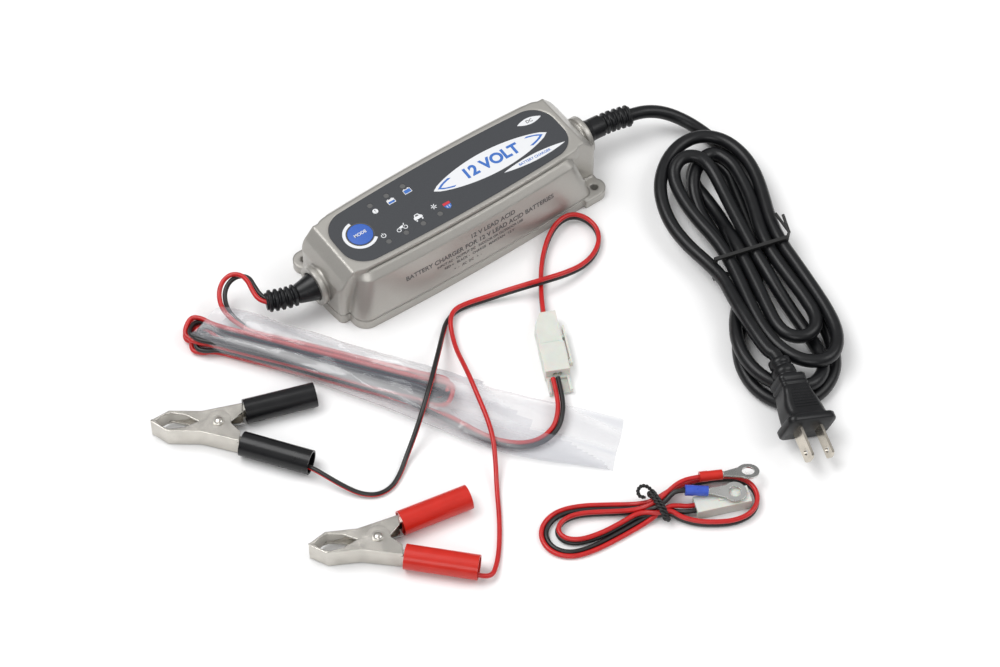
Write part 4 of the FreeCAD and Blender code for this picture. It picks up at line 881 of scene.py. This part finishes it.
def film_finish():
    """Thin clear film, nearly clear: white bands partly milky and partly painted highlight, blue-grey
    bands painted shade.
    """
    mat = bpy.data.materials.new("clear_film")
    mat.use_nodes = True
    nodes, links = mat.node_tree.nodes, mat.node_tree.links
    shader = nodes["Principled BSDF"]
    coords = nodes.new("ShaderNodeTexCoord")
    turn = nodes.new("ShaderNodeMapping")
    turn.inputs["Rotation"].default_value = (0, 0, math.radians(-BAG_HEADING + 3))
    links.new(coords.outputs["Object"], turn.inputs["Vector"])
    stretch = nodes.new("ShaderNodeMapping")
    stretch.inputs["Scale"].default_value = (8, 78, 45)
    links.new(turn.outputs["Vector"], stretch.inputs["Vector"])
    # this noise places the painted highlight and painted shade bands along the film
    milk_and_highlight_streaks = nodes.new("ShaderNodeTexNoise")
    set_inputs(milk_and_highlight_streaks, {"Scale": 1.0, "Detail": 1.2, "Distortion": 0.6})
    links.new(stretch.outputs["Vector"], milk_and_highlight_streaks.inputs["Vector"])
    # more opaque where the bands are white: partly milky film, partly painted highlight
    clearness = nodes.new("ShaderNodeMapRange")
    set_inputs(clearness, {"From Min": 0.42, "From Max": 0.68, "To Min": 0.24, "To Max": 0.62})
    links.new(milk_and_highlight_streaks.outputs["Fac"], clearness.inputs["Value"])
    links.new(clearness.outputs["Result"], shader.inputs["Alpha"])
    # colour from blue-grey painted shade to white, partly milky film and partly painted highlight
    milk_highlight_shade_tint = nodes.new("ShaderNodeValToRGB")
    set_ramp(milk_highlight_shade_tint, (0.36, (0.36, 0.38, 0.45)), (0.52, (0.80, 0.80, 0.82)))
    links.new(milk_and_highlight_streaks.outputs["Fac"], milk_highlight_shade_tint.inputs["Fac"])
    links.new(milk_highlight_shade_tint.outputs["Color"], shader.inputs["Base Color"])
    set_inputs(shader, {"Roughness": 0.14, "Specular IOR Level": 0.9, "Coat Weight": 0.6,
                        "Coat Roughness": 0.05})
    return mat


bag = film_bag()
settle(bag, film_finish(), replaced=("lead_bag",))


# ---- twisted tie of the eyelet lead ------------------------------------------
def twisted(name, route, gap, pitch, diameter, finish):
    """Two thin strands twisted round each other along a route in millimetres."""
    steps = 130
    path, total = smooth_path(route, steps)
    strands = []
    for phase in (0, math.pi):
        points = []
        for i, at in enumerate(path):
            ahead = (path[min(i + 1, steps)] - path[max(i - 1, 0)]).normalized()
            side = ahead.cross(Vector((0.13, 0.21, 1))).normalized()
            up = side.cross(ahead)
            angle = phase + math.tau * (total / MM * i / steps) / pitch
            where = at + (side * math.cos(angle) + up * math.sin(angle)) * gap * MM
            points.append(tuple(where / MM))
        strand = cord_curve(f"{name}_{'b' if phase else 'a'}", points, diameter, finish)
        settle(strand, None)
        strands.append(strand)
    return strands


TIE_ROUND = [(-17.2, -198.2, 4.6), (-17.4, -198.8, 8.2), (-18.3, -204.0, 9.6), (-19.2, -210.4, 9.4),
             (-19.6, -213.6, 6.6), (-19.0, -214.2, 3.2), (-18.2, -211.0, 1.0), (-17.4, -203.0, 1.0),
             (-17.0, -198.8, 2.2), (-18.6, -198.0, 5.2), (-19.4, -199.4, 8.8), (-20.4, -205.0, 10.0),
             (-21.2, -211.6, 9.2), (-21.0, -214.4, 5.4)]
TIE_END = [(-17.6, -198.8, 8.6), (-18.4, -195.8, 9.6), (-20.6, -193.9, 9.9), (-23.4, -194.6, 9.2),
           (-24.2, -197.2, 8.2), (-22.4, -199.4, 8.0)]
tie_pieces = twisted("eyelet_tie_wrap", TIE_ROUND, 0.62, 4.2, 1.25, LOOKS["tie_black"])
tie_pieces += twisted("eyelet_tie_tail", TIE_END, 0.5, 3.2, 1.0, LOOKS["tie_black"])
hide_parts("eyelet_tie")

# ---- rivet heads of the clamps -----------------------------------------------
RIVET_DOME = [(2.35, 12.1), (2.35, 12.5), (2.1, 12.9), (1.5, 13.25), (0.6, 13.45), (0.05, 13.5)]
RIVET_SIDES = 28
for clamp_name, (cx, cy) in (("black", (-170.6, -39.2)), ("red", (-144.4, -142.8))):
    dome = []
    for radius, z in RIVET_DOME:
        dome.append([Vector((cx + radius * math.cos(a), cy + radius * math.sin(a), z)) * MM
                     for a in [math.tau * k / RIVET_SIDES for k in range(RIVET_SIDES)]])
    settle(lofted(f"{clamp_name}_rivet_head", dome), LOOKS["clamp_nickel"])

# ---- red edge of the parted twin lead on the black branch --------------------
stripe = cord_curve("clamp_lead_stripe", beside(BLACK_BRANCH[len(CLAMP_RUN):], 1.0), 0.9,
                    LOOKS["wire_red"])
settle(stripe, None)


# ---- each cord's length and its pieces, worked out but not kept --------------
def declare(cord_obj, pieces):
    pieces = [frame["nodes"][p] if isinstance(p, str) else p for p in pieces]
    round(length_of(cord_obj), 3)


declare(mains,
        [mains_boot, plug_body, "plug_blades", "mains_tie"])
declare(dc_red,
        [dc_boot, "charger_connector", "connector_pins"])
declare(dc_black, ["charger_connector"])
declare(clamp_black,
        [stripe, "clamp_connector", "black_clamp_lower_jaw", "black_clamp_lower_sleeve",
         "black_clamp_rivet", "black_clamp_spring", "black_clamp_upper_jaw",
         "black_clamp_upper_sleeve"])
declare(clamp_red,
        ["clamp_connector", "red_clamp_lower_jaw", "red_clamp_lower_sleeve", "red_clamp_rivet",
         "red_clamp_spring", "red_clamp_upper_jaw", "red_clamp_upper_sleeve"])
declare(eyelet_red,
        ["eyelet_connector", "red_ring_sleeve", "red_ring_terminal"] + tie_pieces)
declare(eyelet_black,
        ["eyelet_connector", "blue_ring_sleeve", "blue_ring_terminal"])


# ---- floor and light ---------------------------------------------------------
FLOOR_HALF = 3.0
floor_corners = box(-FLOOR_HALF, -FLOOR_HALF, FLOOR_HALF, FLOOR_HALF)
floor = mesh_piece("floor", [(x, y, 0) for x, y in floor_corners], [(0, 1, 2, 3)], False)
floor.data.materials.append(shade("paper", (0.93, 0.93, 0.93), 0.8, spread=0.004, scale=4))
world = bpy.data.worlds.new("studio")
world.use_nodes = True
sky_nodes, sky_links = world.node_tree.nodes, world.node_tree.links
sky_coords = sky_nodes.new("ShaderNodeTexCoord")
height = sky_nodes.new("ShaderNodeSeparateXYZ")
sky = sky_nodes.new("ShaderNodeValToRGB")
set_ramp(sky, (0.05, (0.30, 0.30, 0.31)), (0.75, (1, 1, 1)))
sky_links.new(sky_coords.outputs["Generated"], height.inputs["Vector"])
sky_links.new(height.outputs["Z"], sky.inputs["Fac"])
sky_links.new(sky.outputs["Color"], sky_nodes["Background"].inputs["Color"])
sky_nodes["Background"].inputs["Strength"].default_value = 0.60
bpy.context.scene.world = world


LIT_AT = Vector((-0.02, -0.08, 0))


def soft_light(name, at, size, power):
    data = bpy.data.lights.new(name, "AREA")
    data.shape = "RECTANGLE"
    data.size, data.size_y = size
    data.energy = power
    lamp = scene_object(name, data)
    lamp.location = at
    lamp.rotation_euler = (LIT_AT - Vector(at)).to_track_quat("-Z", "Y").to_euler()


soft_light("key", (-0.5, 0.5, 1.5), (1.2, 0.9), 16)
soft_light("fill", (0.9, -0.7, 1.2), (0.9, 0.9), 6.5)
soft_light("front", (-0.9, -1.0, 0.9), (0.8, 0.6), 4)
